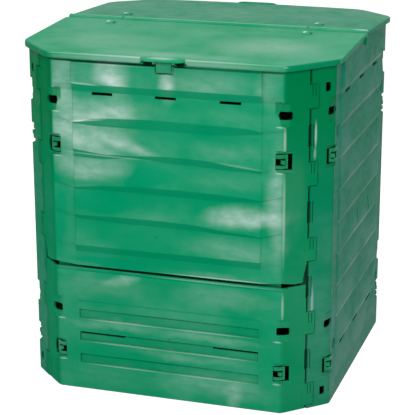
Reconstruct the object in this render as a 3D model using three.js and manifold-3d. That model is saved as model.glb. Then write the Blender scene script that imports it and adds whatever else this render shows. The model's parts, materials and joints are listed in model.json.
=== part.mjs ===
// A square garden compost bin of moulded green plastic: four lapped wall panels that hook together
// at cut-off corners, a pull-out hatch low on the front, and a lid of two pitched flaps that swing
// on a bar along the ridge. Millimetres, Z up, the ground at Z = 0, the front facing -Y.
import * as THREE from 'three';
import { mergeVertices } from 'three/addons/utils/BufferGeometryUtils.js';
import Module from 'manifold-3d';

const wasm = await Module();
wasm.setup();

// Body
const bodyWidth = 740;
const cornerRun = 92;
const wallSkin = 5;
const seamGap = 4;
const hemReach = 20;
const hemThickness = 4;

// Gaps between pieces
const seatGap = 0.3;
const swingGap = 1;
const cutOverrun = 3;

// Lapped boards pressed into every wall
const boardMargin = 53;
const boardPitch = 77;
const boardProud = 5;
const boardSink = 2;
const undercutHeight = 17;
const headBand = 68;
const footBand = 60;
const creaseWeb = 4;

// Front split
const hatchTop = 309;
const hatchGap = 5;
const hatchGroundGap = 2;
const lapReach = 14;
const lapSkin = 4;
const lapRoot = 11;
const lapClearance = 1;
const flangeNotch = 8;
const flangeNotchHeight = 48;
const flangeNotchShare = 0.45;

// Hatch grooves
const grooveCount = 3;
const grooveTop = 204;
const groovePitch = 57;
const grooveHeight = 23;
const grooveDepth = 9;
const grooveSlotLength = 112;
const grooveSlotHeight = 6;

// Air slots
const slotLength = 50;
const slotHeight = 7;
const slotInset = 73;
const slotCount = 3;
const slotDrop = 4;

// Corner pockets
const upperLockDrop = 108;
const lowerLockHeight = 205;
const lockHoleTall = 17;
const lockHoleWide = 30;
const lockPocketTall = 54;
const lockPocketDepth = 6;
const upperClipDrop = 215;
const lowerClipHeight = 98;
const clipPocketTall = 50;
const clipPocketDepth = 9;
const pocketBossSkin = 5;
const pocketBossWide = 60;
const pocketBossLedge = 6;

// Corner clips
const clipWide = 22;
const clipTall = 40;
const clipThickness = 4;
const prongThickness = 3;
const prongReach = 10;
const outerProngTall = 30;
const innerProngTall = 12;
const prongSlotWide = 9;
const prongSlotMargin = 3;
const clipSlitHeight = 3;
const clipSlitPitch = 14;
const clipSlitLength = 13;

// Hook tabs across the corner seams
const upperTabDrop = 72;
const upperTabRise = 78;
const upperTabCount = 3;
const hatchTabDrop = 95;
const hatchTabFoot = 36;
const hatchTabCount = 2;
const tabTall = 53;
const tabRoot = 8;
const tabReach = 20;
const tabThickness = 4;
const tabSink = 2.6;
const tabRecess = 3;
const tabMargin = 2.5;
const tabSlotWide = 2.5;
const tabSlotTall = 25;
const tabSlotPitch = 8;
const tabSlotStart = 3;

// Windows between the tabs
const windowTall = 50;
const windowSlotWide = 3;
const windowSlotStart = 8;
const windowNotch = 3;

// Side wall marks
const holeWide = 14;
const holeTall = 21;
const holeInset = 20;
const upperHoleDrop = 54;
const lowerHoleHeight = 38;
const dimpleRadius = 15;
const dimpleDepth = 2.5;
const dimpleInset = 37;
const upperDimpleDrop = 168;
const lowerDimpleHeight = 138;
const slitWide = 6;
const slitTall = 38;
const slitDepth = 3;
const slitBoard = 5;
const firstSlitPlace = -20;
const secondSlitPlace = 100;

// Ridge bar
const hingeHeight = 835;
const barRadius = 7;
const neckRadius = 4;
const hookThickness = 5;
const hookWide = 10;
const hookDrop = 34;

// Lid flaps
const lidOverhang = 12;
const lidCornerRadius = 60;
const lidPitch = THREE.MathUtils.degToRad(2.2);
const lidTopRise = 3;
const lidSkin = 3.5;
const rimHeight = 15;
const rimSkin = 3;
const ridgeBevel = 1.8;
const ridgeBevelReach = 10;
const ribHeight = 8;
const ribSkin = 3;
const ribSetback = 20;
const longRibInset = 86;
const crossRibPlace = 190;

// Hinge arms and their studs
const armInset = 134;
const armWide = 56;
const armReach = 85;
const armThickness = 4;
const clawWide = 26;
const clawGap = 0.4;
const clawMouth = THREE.MathUtils.degToRad(60);
const studReach = 60;
const studOffset = 11;
const studHeadRadius = 13;
const studHeadHeight = 5.5;
const studRadius = 5;
const studTail = 4;

// Grip lips and latches
const gripWide = 104;
const gripReach = 16;
const gripSkin = 5;
const gripSink = 2;
const gripTroughWide = 88;
const gripTroughReach = 6;
const gripTroughDepth = 1.5;
const gripCornerShare = 0.5;
const latchWide = 39;
const latchDrop = 25;
const latchSkin = 4;
const latchAxisInset = 5;
const latchAxisDrop = 12.5;
const latchBarrelRadius = 4;
const latchNose = 5;
const latchNoseTall = 4;
const latchRibCount = 4;
const latchRibWide = 2.4;
const latchRibProud = 1.2;
const latchRibTall = 11;
const latchPinRadius = 1.5;
const earSkin = 4;
const earReach = 9;
const channelMargin = 6;
const channelDepth = 5;
const channelFoot = 6;
const channelBossSkin = 4;
const channelBossMargin = 8;

// Round pieces
const barSides = 16;
const clawSides = 14;
const studSides = 16;
const domeSteps = 4;
const dimpleSides = 16;
const cornerSteps = 4;
const pinSides = 10;

// Sizes that follow from the ones above
const half = bodyWidth / 2;
const faceHalf = half - cornerRun;
const creaseHalf = faceHalf - boardMargin;
const outside = -half - boardProud - cutOverrun;
const seamLine = half - cornerRun / 2;
const flangeLength = cornerRun * Math.SQRT1_2;
const cornerTurn = Math.PI / 4;
const skinUnderside = lidTopRise - lidSkin;
const lidHalf = half + lidOverhang;
const lidCorner = faceHalf + lidOverhang * Math.tan(cornerTurn / 2);
const ridgeGap = barRadius + swingGap;
const eavesTop = wallTopAt(half + boardProud);
const firstUndercut = eavesTop - headBand;
const upperPanelBottom = hatchTop + hatchGap;
const upperLockHeight = eavesTop - upperLockDrop;
const upperClipHeight = eavesTop - upperClipDrop;
const armPlace = half - armInset;
const longRibPlace = armPlace - longRibInset;
const studPlace = armPlace + studOffset;
const latchAxisY = -(lidHalf - latchAxisInset);
const latchAxisZ = lidTopRise - latchAxisDrop;
const boxSegments = 1;

// Colours
const bodyGreen = 0x0f8a5a;
const sideGreen = 0x2f8a68;
const lidGreen = 0x4fa27c;
const trimGreen = 0x0d7a4e;

function wallTopAt(distance) {
  const underside = (lidTopRise - lidSkin) / Math.cos(lidPitch);
  return hingeHeight + underside - seatGap - Math.abs(distance) * Math.tan(lidPitch);
}

// Solids

function solid(geometry) {
  const bare = geometry.clone();
  bare.deleteAttribute('normal');
  bare.deleteAttribute('uv');
  const merged = mergeVertices(bare);
  return new wasm.Manifold(new wasm.Mesh({
    numProp: 3,
    vertProperties: new Float32Array(merged.attributes.position.array),
    triVerts: new Uint32Array(merged.index.array),
  }));
}

function geometryOf(shape) {
  const { vertProperties, triVerts } = shape.getMesh();
  const geometry = new THREE.BufferGeometry();
  geometry.setAttribute('position', new THREE.BufferAttribute(vertProperties, 3));
  geometry.setIndex(new THREE.BufferAttribute(triVerts, 1));
  geometry.computeVertexNormals();
  return geometry;
}

function joined(shapes) {
  return shapes.reduce((whole, shape) => whole.add(shape));
}

function cut(whole, shapes) {
  return shapes.reduce((rest, shape) => rest.subtract(shape), whole);
}

function boxGeometry(low, high) {
  const size = high.map((value, axis) => value - low[axis]);
  const geometry = new THREE.BoxGeometry(...size, boxSegments, boxSegments, boxSegments);
  geometry.translate(...high.map((value, axis) => (value + low[axis]) / 2));
  return geometry;
}

function box(low, high, frame) {
  const geometry = boxGeometry(low, high);
  if (frame) geometry.applyMatrix4(frame);
  return solid(geometry);
}

// A flat outline pushed along Z, then moved by a frame when one is given
function prismGeometry(outline, from, to, hole) {
  const shape = new THREE.Shape(outline.map(([x, y]) => new THREE.Vector2(x, y)));
  if (hole) shape.holes.push(new THREE.Path(hole.map(([x, y]) => new THREE.Vector2(x, y))));
  const geometry = new THREE.ExtrudeGeometry(shape, { depth: to - from, bevelEnabled: false });
  geometry.translate(0, 0, from);
  return geometry;
}

function prism(outline, from, to, frame) {
  const geometry = prismGeometry(outline, from, to);
  if (frame) geometry.applyMatrix4(frame);
  return solid(geometry);
}

function rod(radius, from, to, sides, frame) {
  const geometry = new THREE.CylinderGeometry(radius, radius, to - from, sides);
  geometry.rotateZ(Math.PI / 2);
  geometry.translate((from + to) / 2, 0, 0);
  if (frame) geometry.applyMatrix4(frame);
  return solid(geometry);
}

function mirrored(shape) {
  const geometry = geometryOf(shape);
  geometry.scale(-1, 1, 1);
  const index = geometry.index.array;
  for (let corner = 0; corner < index.length; corner += 3) {
    [index[corner], index[corner + 1]] = [index[corner + 1], index[corner]];
  }
  return solid(geometry);
}

function bothSides(shape) {
  return [shape, mirrored(shape)];
}

// Frames that share the directions of one wall, seen as the front wall: X along it, Y inwards

const alongWall = new THREE.Matrix4().makeBasis(
  new THREE.Vector3(0, 1, 0), new THREE.Vector3(0, 0, 1), new THREE.Vector3(1, 0, 0));

function turnedFrame(x, y, turn) {
  return new THREE.Matrix4().makeTranslation(x, y, 0)
    .multiply(new THREE.Matrix4().makeRotationZ(turn));
}

// At the edge between the face and the corner flange, X across the edge and Y into the wall
const edgeFrame = turnedFrame(faceHalf, -half, cornerTurn / 2);

// At the same edge, X along the flange to the seam
const flangeFrame = turnedFrame(faceHalf, -half, cornerTurn);

// In the middle of the corner, X across the seam towards the next wall and Y into the wall
const seamFrame = turnedFrame(seamLine, -seamLine, cornerTurn);

// Wall panels

// Heights of the crests, where each board ends in an undercut
function crestHeights(bottom) {
  const lowest = Math.max(bottom, footBand) + undercutHeight;
  const count = Math.floor((firstUndercut - lowest) / boardPitch) + 1;
  return Array.from({ length: count }, (_, row) => firstUndercut - row * boardPitch);
}

// Each board leans out to its crest, and the last one ends level with the margins
function boardDepthProfile(top, bottom) {
  const crests = crestHeights(bottom);
  const points = [[-boardProud, top]];
  crests.forEach((crest) => {
    points.push([-boardProud, crest], [boardSink, crest - undercutHeight]);
  });
  const foot = crests.at(-1) - boardPitch;
  if (foot > bottom) points.push([0, foot], [0, bottom]);
  else points.push([boardSink * (bottom - foot) / (boardPitch - undercutHeight), bottom]);
  return points;
}

function boardSheet(top, bottom) {
  const outer = boardDepthProfile(top, bottom).map(([depth, z]) => [depth - half, z]);
  const inner = outer.map(([y, z]) => [y + wallSkin, z]).reverse();
  return prism([...outer, ...inner], -creaseHalf, creaseHalf, alongWall);
}

function flatSheet(top, bottom) {
  return box([-creaseHalf, -half, bottom], [creaseHalf, wallSkin - half, top]);
}

function marginAndFlange(top, bottom) {
  const reach = (flangeLength - seamGap / 2) * Math.SQRT1_2;
  const inset = wallSkin * Math.SQRT1_2;
  const innerEdge = faceHalf - wallSkin * Math.tan(cornerTurn / 2);
  const start = creaseHalf - creaseWeb / 2;
  const outline = [
    [start, -half], [faceHalf, -half], [faceHalf + reach, reach - half],
    [faceHalf + reach - inset, reach - half + inset], [innerEdge, wallSkin - half],
    [start, wallSkin - half],
  ];
  return prism(outline, bottom, top);
}

// The step between the boards and the margin beside them
function creaseWall(top, bottom) {
  const outer = boardDepthProfile(top, bottom).map(([depth, z]) => [depth - half, z]);
  const inner = boardSink + wallSkin - half;
  return prism([...outer, [inner, bottom], [inner, top]], creaseHalf - creaseWeb, creaseHalf,
    alongWall);
}

function pocketBoss(height, tall, depth) {
  const slope = Math.tan(cornerTurn / 2);
  const wide = pocketBossWide / 2;
  const back = depth + pocketBossSkin;
  const side = Math.min(back / slope, wide);
  const cover = wallSkin / 2;
  const outline = [[0, cover], [side, Math.min(side * slope + cover, back)], [side, back],
    [-side, back], [-side, Math.min(side * slope + cover, back)]];
  const reach = tall / 2 + pocketBossLedge;
  return prism(outline, height - reach, height + reach, edgeFrame);
}

function edgeCut(height, tall, wide, from, to, across = 0) {
  return box([across - wide / 2, from, height - tall / 2],
    [across + wide / 2, to, height + tall / 2], edgeFrame);
}

function lockPocketCuts(height) {
  const through = lockPocketDepth + pocketBossSkin + pocketBossWide;
  return [
    edgeCut(height, lockPocketTall, pocketBossWide, -cutOverrun, lockPocketDepth),
    edgeCut(height, lockHoleTall, lockHoleWide, 0, through),
  ];
}

function clipPocketCuts(height) {
  const through = clipPocketDepth + pocketBossSkin + pocketBossWide;
  const slotMiddle = clipWide / 2 - prongThickness - seatGap + prongSlotWide / 2;
  return [
    edgeCut(height, clipPocketTall, pocketBossWide, -cutOverrun, clipPocketDepth),
    edgeCut(height, outerProngTall + 2 * prongSlotMargin, prongSlotWide, 0, through, slotMiddle),
    edgeCut(height, innerProngTall + 2 * prongSlotMargin, prongSlotWide, 0, through, -slotMiddle),
  ];
}

function pocketBosses(lockHeight, clipHeight) {
  return [
    ...bothSides(pocketBoss(lockHeight, lockPocketTall, lockPocketDepth)),
    ...bothSides(pocketBoss(clipHeight, clipPocketTall, clipPocketDepth)),
  ];
}

function pocketCuts(lockHeight, clipHeight) {
  return [...lockPocketCuts(lockHeight), ...clipPocketCuts(clipHeight)].flatMap(bothSides);
}

function evenly(top, bottom, count) {
  return Array.from({ length: count }, (_, row) => top - (top - bottom) * row / (count - 1));
}

const tabLevels = [
  ...evenly(eavesTop - upperTabDrop, upperPanelBottom + upperTabRise, upperTabCount),
  ...evenly(hatchTop - hatchTabDrop, hatchTabFoot, hatchTabCount),
];
const windowLevels = tabLevels.slice(1).map((low, row) => (low + tabLevels[row]) / 2);

function tabHeights(top, bottom) {
  return tabLevels.filter((z) => z + tabTall / 2 < top && z - tabTall / 2 > bottom);
}

function windowHeights(top, bottom) {
  return windowLevels.filter((z) => z + windowTall / 2 < top && z - windowTall / 2 > bottom);
}

// A tab grows from one wall's flange and laps over a shallow recess in the next wall's
function hookTab(height) {
  const plate = box([-tabRoot - seamGap / 2, tabSink - tabThickness, height - tabTall / 2],
    [tabReach, tabSink, height + tabTall / 2], seamFrame);
  const slots = [0, 1].map((row) => {
    const from = tabSlotStart + row * tabSlotPitch;
    return box([from, -tabThickness, height],
      [from + tabSlotWide, tabThickness, height + tabSlotTall], seamFrame);
  });
  return cut(plate, slots);
}

function tabRecessCut(height) {
  const low = height - tabTall / 2 - tabMargin;
  return box([-tabReach - tabMargin, -cutOverrun, low],
    [seamGap, tabRecess, height + tabTall / 2 + tabMargin], seamFrame);
}

function windowCuts(height) {
  const low = height - windowTall / 2;
  const high = height + windowTall / 2;
  return [
    box([-windowSlotStart - windowSlotWide, -cutOverrun, low],
      [-windowSlotStart, wallSkin + cutOverrun, high], seamFrame),
    windowEdgeNotch(height),
  ];
}

function windowEdgeNotch(height) {
  return box([-seamGap / 2 - windowNotch, -cutOverrun, height - windowTall / 2],
    [seamGap, wallSkin + cutOverrun, height + windowTall / 2], seamFrame);
}

function airSlots(height) {
  return Array.from({ length: slotCount }, (_, place) => {
    const x = (place - (slotCount - 1) / 2) * (creaseHalf - slotInset);
    return box([x - slotLength / 2, outside, height - slotHeight / 2],
      [x + slotLength / 2, boardSink + wallSkin - half + cutOverrun, height + slotHeight / 2]);
  });
}

function footHem(bottom) {
  return box([-faceHalf + hemReach, wallSkin / 2 - half, bottom],
    [faceHalf - hemReach, wallSkin + hemReach - half, bottom + hemThickness]);
}

const upperSlotHeight = firstUndercut - undercutHeight - slotDrop;
const lowerSlotHeight = crestHeights(0).at(-1) - undercutHeight - slotDrop;

function latchChannelBoss() {
  const wide = latchWide / 2 + channelMargin + channelBossMargin;
  const bottom = channelBottom() - channelBossMargin;
  return box([-wide, wallSkin / 2 - boardProud - half, bottom],
    [wide, channelDepth + channelBossSkin - half, eavesTop]);
}

function channelBottom() {
  const latchTip = latchAxisZ - latchDrop;
  return hingeHeight - lidHalf * Math.sin(lidPitch) + latchTip - channelFoot;
}

function latchChannelCut() {
  const wide = latchWide / 2 + channelMargin;
  return box([-wide, outside, channelBottom()],
    [wide, channelDepth - half, eavesTop + cutOverrun]);
}

function boardedShell(top, bottom) {
  return [
    boardSheet(top, bottom),
    ...bothSides(marginAndFlange(top, bottom)),
    ...bothSides(creaseWall(top, bottom)),
  ];
}

function backWall() {
  const whole = joined([
    ...boardedShell(eavesTop, 0),
    ...pocketBosses(upperLockHeight, upperClipHeight),
    ...pocketBosses(lowerLockHeight, lowerClipHeight),
    ...tabHeights(eavesTop, 0).flatMap((z) => bothSides(hookTab(z))),
    footHem(0),
    latchChannelBoss(),
  ]);
  return cut(whole, [
    ...pocketCuts(upperLockHeight, upperClipHeight),
    ...pocketCuts(lowerLockHeight, lowerClipHeight),
    ...windowHeights(eavesTop, 0).flatMap((z) => bothSides(windowEdgeNotch(z))),
    ...airSlots(upperSlotHeight),
    ...airSlots(lowerSlotHeight),
    latchChannelCut(),
  ]);
}

function sideWall() {
  const peak = wallTopAt(0);
  const whole = joined([
    ...boardedShell(peak, 0),
    ...pocketBosses(upperLockHeight, upperClipHeight),
    ...pocketBosses(lowerLockHeight, lowerClipHeight),
    footHem(0),
  ]);
  const gable = [[-bodyWidth, -cutOverrun], [bodyWidth, -cutOverrun],
    [bodyWidth, wallTopAt(bodyWidth)], [0, peak], [-bodyWidth, wallTopAt(bodyWidth)]];
  const upright = new THREE.Matrix4().makeBasis(
    new THREE.Vector3(1, 0, 0), new THREE.Vector3(0, 0, 1), new THREE.Vector3(0, -1, 0));
  const pitched = whole.intersect(prism(gable, 0, bodyWidth, upright));
  return cut(pitched, [
    ...pocketCuts(upperLockHeight, upperClipHeight),
    ...pocketCuts(lowerLockHeight, lowerClipHeight),
    ...tabHeights(eavesTop, 0).flatMap((z) => bothSides(tabRecessCut(z))),
    ...windowHeights(eavesTop, 0).flatMap((z) => windowCuts(z).flatMap(bothSides)),
    ...airSlots(upperSlotHeight),
    ...airSlots(lowerSlotHeight),
    ...sideMarks(),
    barNotch(),
  ]);
}

function barNotch() {
  const wide = barRadius + seatGap;
  return box([-wide, outside, hingeHeight - wide],
    [wide, boardSink + wallSkin - half + cutOverrun, hingeHeight + wide]);
}

function sideMarks() {
  const holes = [eavesTop - upperHoleDrop, lowerHoleHeight].flatMap((height) => bothSides(box(
    [holeInset - holeWide / 2, -cutOverrun, height - holeTall / 2],
    [holeInset + holeWide / 2, wallSkin + cutOverrun, height + holeTall / 2], flangeFrame)));
  const dimples = [eavesTop - upperDimpleDrop, lowerDimpleHeight].flatMap((height) => {
    const place = new THREE.Matrix4().makeTranslation(faceHalf - dimpleInset, -half, height)
      .multiply(new THREE.Matrix4().makeRotationZ(Math.PI / 2));
    return bothSides(rod(dimpleRadius, -cutOverrun, dimpleDepth, dimpleSides, place));
  });
  const slits = [firstSlitPlace, secondSlitPlace].map(slitCut);
  return [...holes, ...dimples, ...slits];
}

// A blind slit that starts at a crest and follows the lean of the board above it
function slitCut(x) {
  const low = crestHeights(0)[slitBoard];
  const lean = (boardProud + boardSink) / (boardPitch - undercutHeight);
  const floor = slitDepth - boardProud - half;
  return prism([[outside, low], [floor, low], [floor + slitTall * lean, low + slitTall],
    [outside, low + slitTall]], x - slitWide / 2, x + slitWide / 2, alongWall);
}

// The upper front panel laps behind the hatch and its flanges narrow towards the split
function frontWall() {
  const bottom = upperPanelBottom;
  const lapBack = wallSkin + lapClearance + lapSkin - half;
  const lapEdge = faceHalf - wallSkin;
  const whole = joined([
    ...boardedShell(eavesTop, bottom),
    ...pocketBosses(upperLockHeight, upperClipHeight),
    ...tabHeights(eavesTop, bottom).flatMap((z) => bothSides(hookTab(z))),
    box([-lapEdge, wallSkin / 2 - half, bottom], [lapEdge, lapBack, bottom + lapRoot]),
    box([-lapEdge, wallSkin + lapClearance - half, bottom - lapReach],
      [lapEdge, lapBack, bottom + lapRoot]),
    latchChannelBoss(),
  ]);
  return cut(whole, [
    ...pocketCuts(upperLockHeight, upperClipHeight),
    ...windowHeights(eavesTop, bottom).flatMap((z) => bothSides(windowEdgeNotch(z))),
    ...bothSides(flangeCorner(bottom)),
    ...airSlots(upperSlotHeight),
    latchChannelCut(),
  ]);
}

function flangeCorner(bottom) {
  const edge = -seamGap / 2;
  const outline = [[edge, bottom + flangeNotchHeight],
    [edge - flangeNotch, bottom + flangeNotchHeight * flangeNotchShare],
    [edge - flangeNotch, bottom - cutOverrun], [edge + cutOverrun, bottom - cutOverrun],
    [edge + cutOverrun, bottom + flangeNotchHeight]];
  const upright = new THREE.Matrix4().makeBasis(
    new THREE.Vector3(1, 0, 0), new THREE.Vector3(0, 0, 1), new THREE.Vector3(0, -1, 0));
  return prism(outline, -wallSkin - cutOverrun, cutOverrun, seamFrame.clone().multiply(upright));
}

function frontHatch() {
  const bottom = hatchGroundGap;
  const grooves = Array.from({ length: grooveCount }, (_, row) => grooveTop - row * groovePitch);
  const backing = box([-creaseHalf, wallSkin / 2 - half, grooves.at(-1) - grooveHeight - wallSkin],
    [creaseHalf, grooveDepth + wallSkin - half, grooves[0] + wallSkin]);
  const lands = grooves.slice(1).map((top) => box(
    [-creaseHalf + wallSkin, wallSkin - half, top + wallSkin],
    [creaseHalf - wallSkin, grooveDepth + wallSkin + cutOverrun - half,
      top + groovePitch - grooveHeight - wallSkin]));
  const whole = joined([
    flatSheet(hatchTop, bottom),
    ...bothSides(marginAndFlange(hatchTop, bottom)),
    cut(backing, lands),
    ...pocketBosses(lowerLockHeight, lowerClipHeight),
    ...tabHeights(hatchTop, 0).flatMap((z) => bothSides(hookTab(z))),
    footHem(bottom),
  ]);
  const grooveCuts = grooves.map((top) => box(
    [creaseWeb - creaseHalf, -half - cutOverrun, top - grooveHeight],
    [creaseHalf - creaseWeb, grooveDepth - half, top]));
  const slotTop = grooves[1];
  const slots = bothSides(box(
    [creaseHalf - creaseWeb - grooveSlotLength, -half, slotTop - grooveSlotHeight],
    [creaseHalf - creaseWeb, grooveDepth + wallSkin + cutOverrun - half, slotTop]));
  return cut(whole, [
    ...pocketCuts(lowerLockHeight, lowerClipHeight),
    ...windowHeights(hatchTop, 0).flatMap((z) => bothSides(windowEdgeNotch(z))),
    ...grooveCuts,
    ...slots,
  ]);
}

// A clip is a notched plate across the corner with two prongs through the wall
function cornerClip(height, mirror) {
  const back = clipPocketDepth - seatGap;
  const front = back - clipThickness;
  const tip = clipPocketDepth + pocketBossSkin + prongReach;
  const plate = box([-clipWide / 2, front, height - clipTall / 2],
    [clipWide / 2, back, height + clipTall / 2]);
  const outerProng = box([clipWide / 2 - prongThickness, front, height - outerProngTall / 2],
    [clipWide / 2, tip, height + outerProngTall / 2]);
  const innerProng = box([-clipWide / 2, front, height - innerProngTall / 2],
    [prongThickness - clipWide / 2, tip, height + innerProngTall / 2]);
  const slits = [-1, 1].map((side) => {
    const middle = height + side * clipSlitPitch / 2;
    return box([clipWide / 2 - clipSlitLength, front - cutOverrun, middle - clipSlitHeight / 2],
      [clipWide / 2 + cutOverrun, tip + cutOverrun, middle + clipSlitHeight / 2]);
  });
  const shape = cut(joined([plate, outerProng, innerProng]), slits);
  const placed = solid(geometryOf(shape).applyMatrix4(edgeFrame));
  return mirror ? mirrored(placed) : placed;
}

// Lid flaps, seen as the front flap: the hinge axis is the X axis and the top lies level

function roundedCorner(x, y, radius, from) {
  return Array.from({ length: cornerSteps + 1 }, (_, step) => {
    const angle = from - cornerTurn * step / cornerSteps;
    return [x + radius * Math.cos(angle), y + radius * Math.sin(angle)];
  });
}

function lidOutline(inset, ridgeInset) {
  const side = lidHalf - inset;
  const ridge = -ridgeGap - ridgeInset;
  const near = lidCorner - lidCornerRadius * Math.tan(cornerTurn / 2);
  const far = lidHalf - lidCornerRadius;
  const radius = lidCornerRadius - inset;
  const right = [...roundedCorner(far, -near, radius, 0),
    ...roundedCorner(near, -far, radius, -cornerTurn)];
  const left = right.map(([x, y]) => [-x, y]);
  return [[-side, ridge], ...left, ...right.reverse(), [side, ridge]];
}

function lidFlap() {
  const rimBottom = lidTopRise - rimHeight;
  const block = prism(lidOutline(0, 0), rimBottom, lidTopRise);
  const slab = cut(block, [ridgeBevelCut()]);
  const hollow = prism(lidOutline(rimSkin, rimSkin), rimBottom - cutOverrun, skinUnderside);
  const inside = half - ribSetback;
  const ribLow = skinUnderside - ribHeight;
  const ribTop = skinUnderside + lidSkin / 2;
  const longRibs = [-longRibPlace, 0, longRibPlace].map((x) => box(
    [x - ribSkin / 2, -inside, ribLow], [x + ribSkin / 2, -ridgeGap - rimSkin / 2, ribTop]));
  const crossRib = box([-inside, -crossRibPlace - ribSkin / 2, ribLow],
    [inside, -crossRibPlace + ribSkin / 2, ribTop]);
  const grip = prism(gripOutline(), lidTopRise - gripSink - gripSkin, lidTopRise - gripSink);
  const ears = bothSides(box(
    [latchWide / 2 + swingGap, -lidHalf, latchAxisZ - latchBarrelRadius],
    [latchWide / 2 + swingGap + earSkin, earReach - lidHalf, ribTop]));
  const whole = joined([cut(slab, [hollow]), ...longRibs, crossRib, grip, ...ears]);
  const armClear = armWide / 2 + swingGap;
  const armCuts = [-armPlace, armPlace].map((x) => box(
    [x - armClear, -armReach, rimBottom - cutOverrun], [x + armClear, 0, skinUnderside]));
  const wallCuts = bothSides(box([inside, -ridgeGap - rimSkin - cutOverrun, rimBottom - cutOverrun],
    [lidHalf - rimSkin, cutOverrun, skinUnderside]));
  const studHoles = [-studPlace, studPlace].map((x) => rod(studRadius + seatGap,
    -lidTopRise - rimHeight, lidTopRise + rimHeight, studSides, uprightAt(x, -studReach)));
  const latchOpening = box([-latchWide / 2 - swingGap, -lidHalf - cutOverrun, rimBottom - cutOverrun],
    [latchWide / 2 + swingGap, earReach - lidHalf, skinUnderside - gripSkin + gripSink]);
  const trough = box([-gripTroughWide / 2, -lidHalf, lidTopRise - gripTroughDepth],
    [gripTroughWide / 2, gripTroughReach - lidHalf, lidTopRise + cutOverrun]);
  return cut(whole, [...armCuts, ...wallCuts, ...studHoles, latchOpening, trough,
    latchPinRod(latchPinRadius + seatGap, latchWide / 2 + 2 * earSkin)]);
}

// The ridge edge falls away a little, so that both flaps can stand open together
function ridgeBevelCut() {
  const outline = [[-ridgeGap - ridgeBevelReach, lidTopRise], [-ridgeGap, lidTopRise - ridgeBevel],
    [cutOverrun, lidTopRise - ridgeBevel], [cutOverrun, lidTopRise + cutOverrun],
    [-ridgeGap - ridgeBevelReach, lidTopRise + cutOverrun]];
  return prism(outline, -bodyWidth, bodyWidth, alongWall);
}

function gripOutline() {
  const wide = gripWide / 2;
  const corner = gripReach * gripCornerShare;
  return [[-wide, rimSkin / 2 - lidHalf], [-wide, -lidHalf],
    [corner - wide, -lidHalf - gripReach], [wide - corner, -lidHalf - gripReach],
    [wide, -lidHalf], [wide, rimSkin / 2 - lidHalf]];
}

function uprightAt(x, y) {
  return new THREE.Matrix4().makeTranslation(x, y, 0)
    .multiply(new THREE.Matrix4().makeRotationY(-Math.PI / 2));
}

function latchPinRod(radius, reach) {
  const place = new THREE.Matrix4().makeTranslation(0, latchAxisY, latchAxisZ);
  return rod(radius, -reach, reach, pinSides, place);
}

function latchPin() {
  return latchPinRod(latchPinRadius, latchWide / 2 + swingGap + earSkin);
}

function lidLatch() {
  const front = latchAxisY - latchSkin / 2;
  const tip = latchAxisZ - latchDrop;
  const wide = latchWide / 2;
  const place = new THREE.Matrix4().makeTranslation(0, latchAxisY, latchAxisZ);
  const plate = box([-wide, front, tip], [wide, front + latchSkin, latchAxisZ]);
  const barrel = rod(latchBarrelRadius, -wide, wide, pinSides, place);
  const nose = box([-wide, front, tip], [wide, front + latchSkin + latchNose, tip + latchNoseTall]);
  const ribPitch = (latchWide - latchRibWide) / (latchRibCount - 1);
  const ribs = Array.from({ length: latchRibCount }, (_, place) => {
    const left = place * ribPitch - wide;
    return box([left, front - latchRibProud, latchAxisZ - latchBarrelRadius - latchRibTall],
      [left + latchRibWide, front + latchSkin / 2, latchAxisZ]);
  });
  return cut(joined([plate, barrel, nose, ...ribs]),
    [latchPinRod(latchPinRadius + seatGap, latchWide)]);
}

// A hinge arm clips on the thin neck of the bar and lies under the flap
function hingeArm(place, clawSide) {
  const clawLeft = clawSide < 0 ? place - armWide / 2 : place + armWide / 2 - clawWide;
  const inner = neckRadius + clawGap;
  const from = -Math.PI / 2 + clawMouth / 2;
  const to = Math.PI * 3 / 2 - clawMouth / 2;
  const steps = Array.from({ length: clawSides + 1 }, (_, step) => step / clawSides);
  const arc = (radius) => steps.map((share) => {
    const angle = from + share * (to - from);
    return [radius * Math.cos(angle), radius * Math.sin(angle)];
  });
  const claw = prism([...arc(barRadius), ...arc(inner).reverse()], clawLeft, clawLeft + clawWide,
    alongWall);
  const top = skinUnderside - seatGap;
  const plate = box([place - armWide / 2, -armReach, top - armThickness],
    [place + armWide / 2, -ridgeGap, top]);
  const link = box([clawLeft, -ridgeGap - cutOverrun, top - armThickness],
    [clawLeft + clawWide, -(barRadius + inner) / 2, top]);
  const stud = Math.sign(place) * studPlace;
  const hole = rod(studRadius + seatGap, -rimHeight, rimHeight, studSides,
    uprightAt(stud, -studReach));
  return cut(joined([claw, plate, link]), [hole]);
}

// A stud has a domed head on the flap and a stem down through flap and arm
function hingeStud(x) {
  const seat = lidTopRise + seatGap;
  const tail = skinUnderside - seatGap - armThickness - studTail;
  const profile = [[0, tail], [studRadius, tail], [studRadius, seat], [studHeadRadius, seat]];
  for (let step = 1; step <= domeSteps; step += 1) {
    const angle = Math.PI / 2 * step / domeSteps;
    profile.push([studHeadRadius * Math.cos(angle), seat + studHeadHeight * Math.sin(angle)]);
  }
  profile[profile.length - 1][0] = 0;
  const geometry = new THREE.LatheGeometry(
    profile.map(([r, z]) => new THREE.Vector2(r, z)), studSides);
  geometry.rotateX(Math.PI / 2);
  geometry.translate(x, -studReach, 0);
  return solid(geometry);
}

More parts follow.
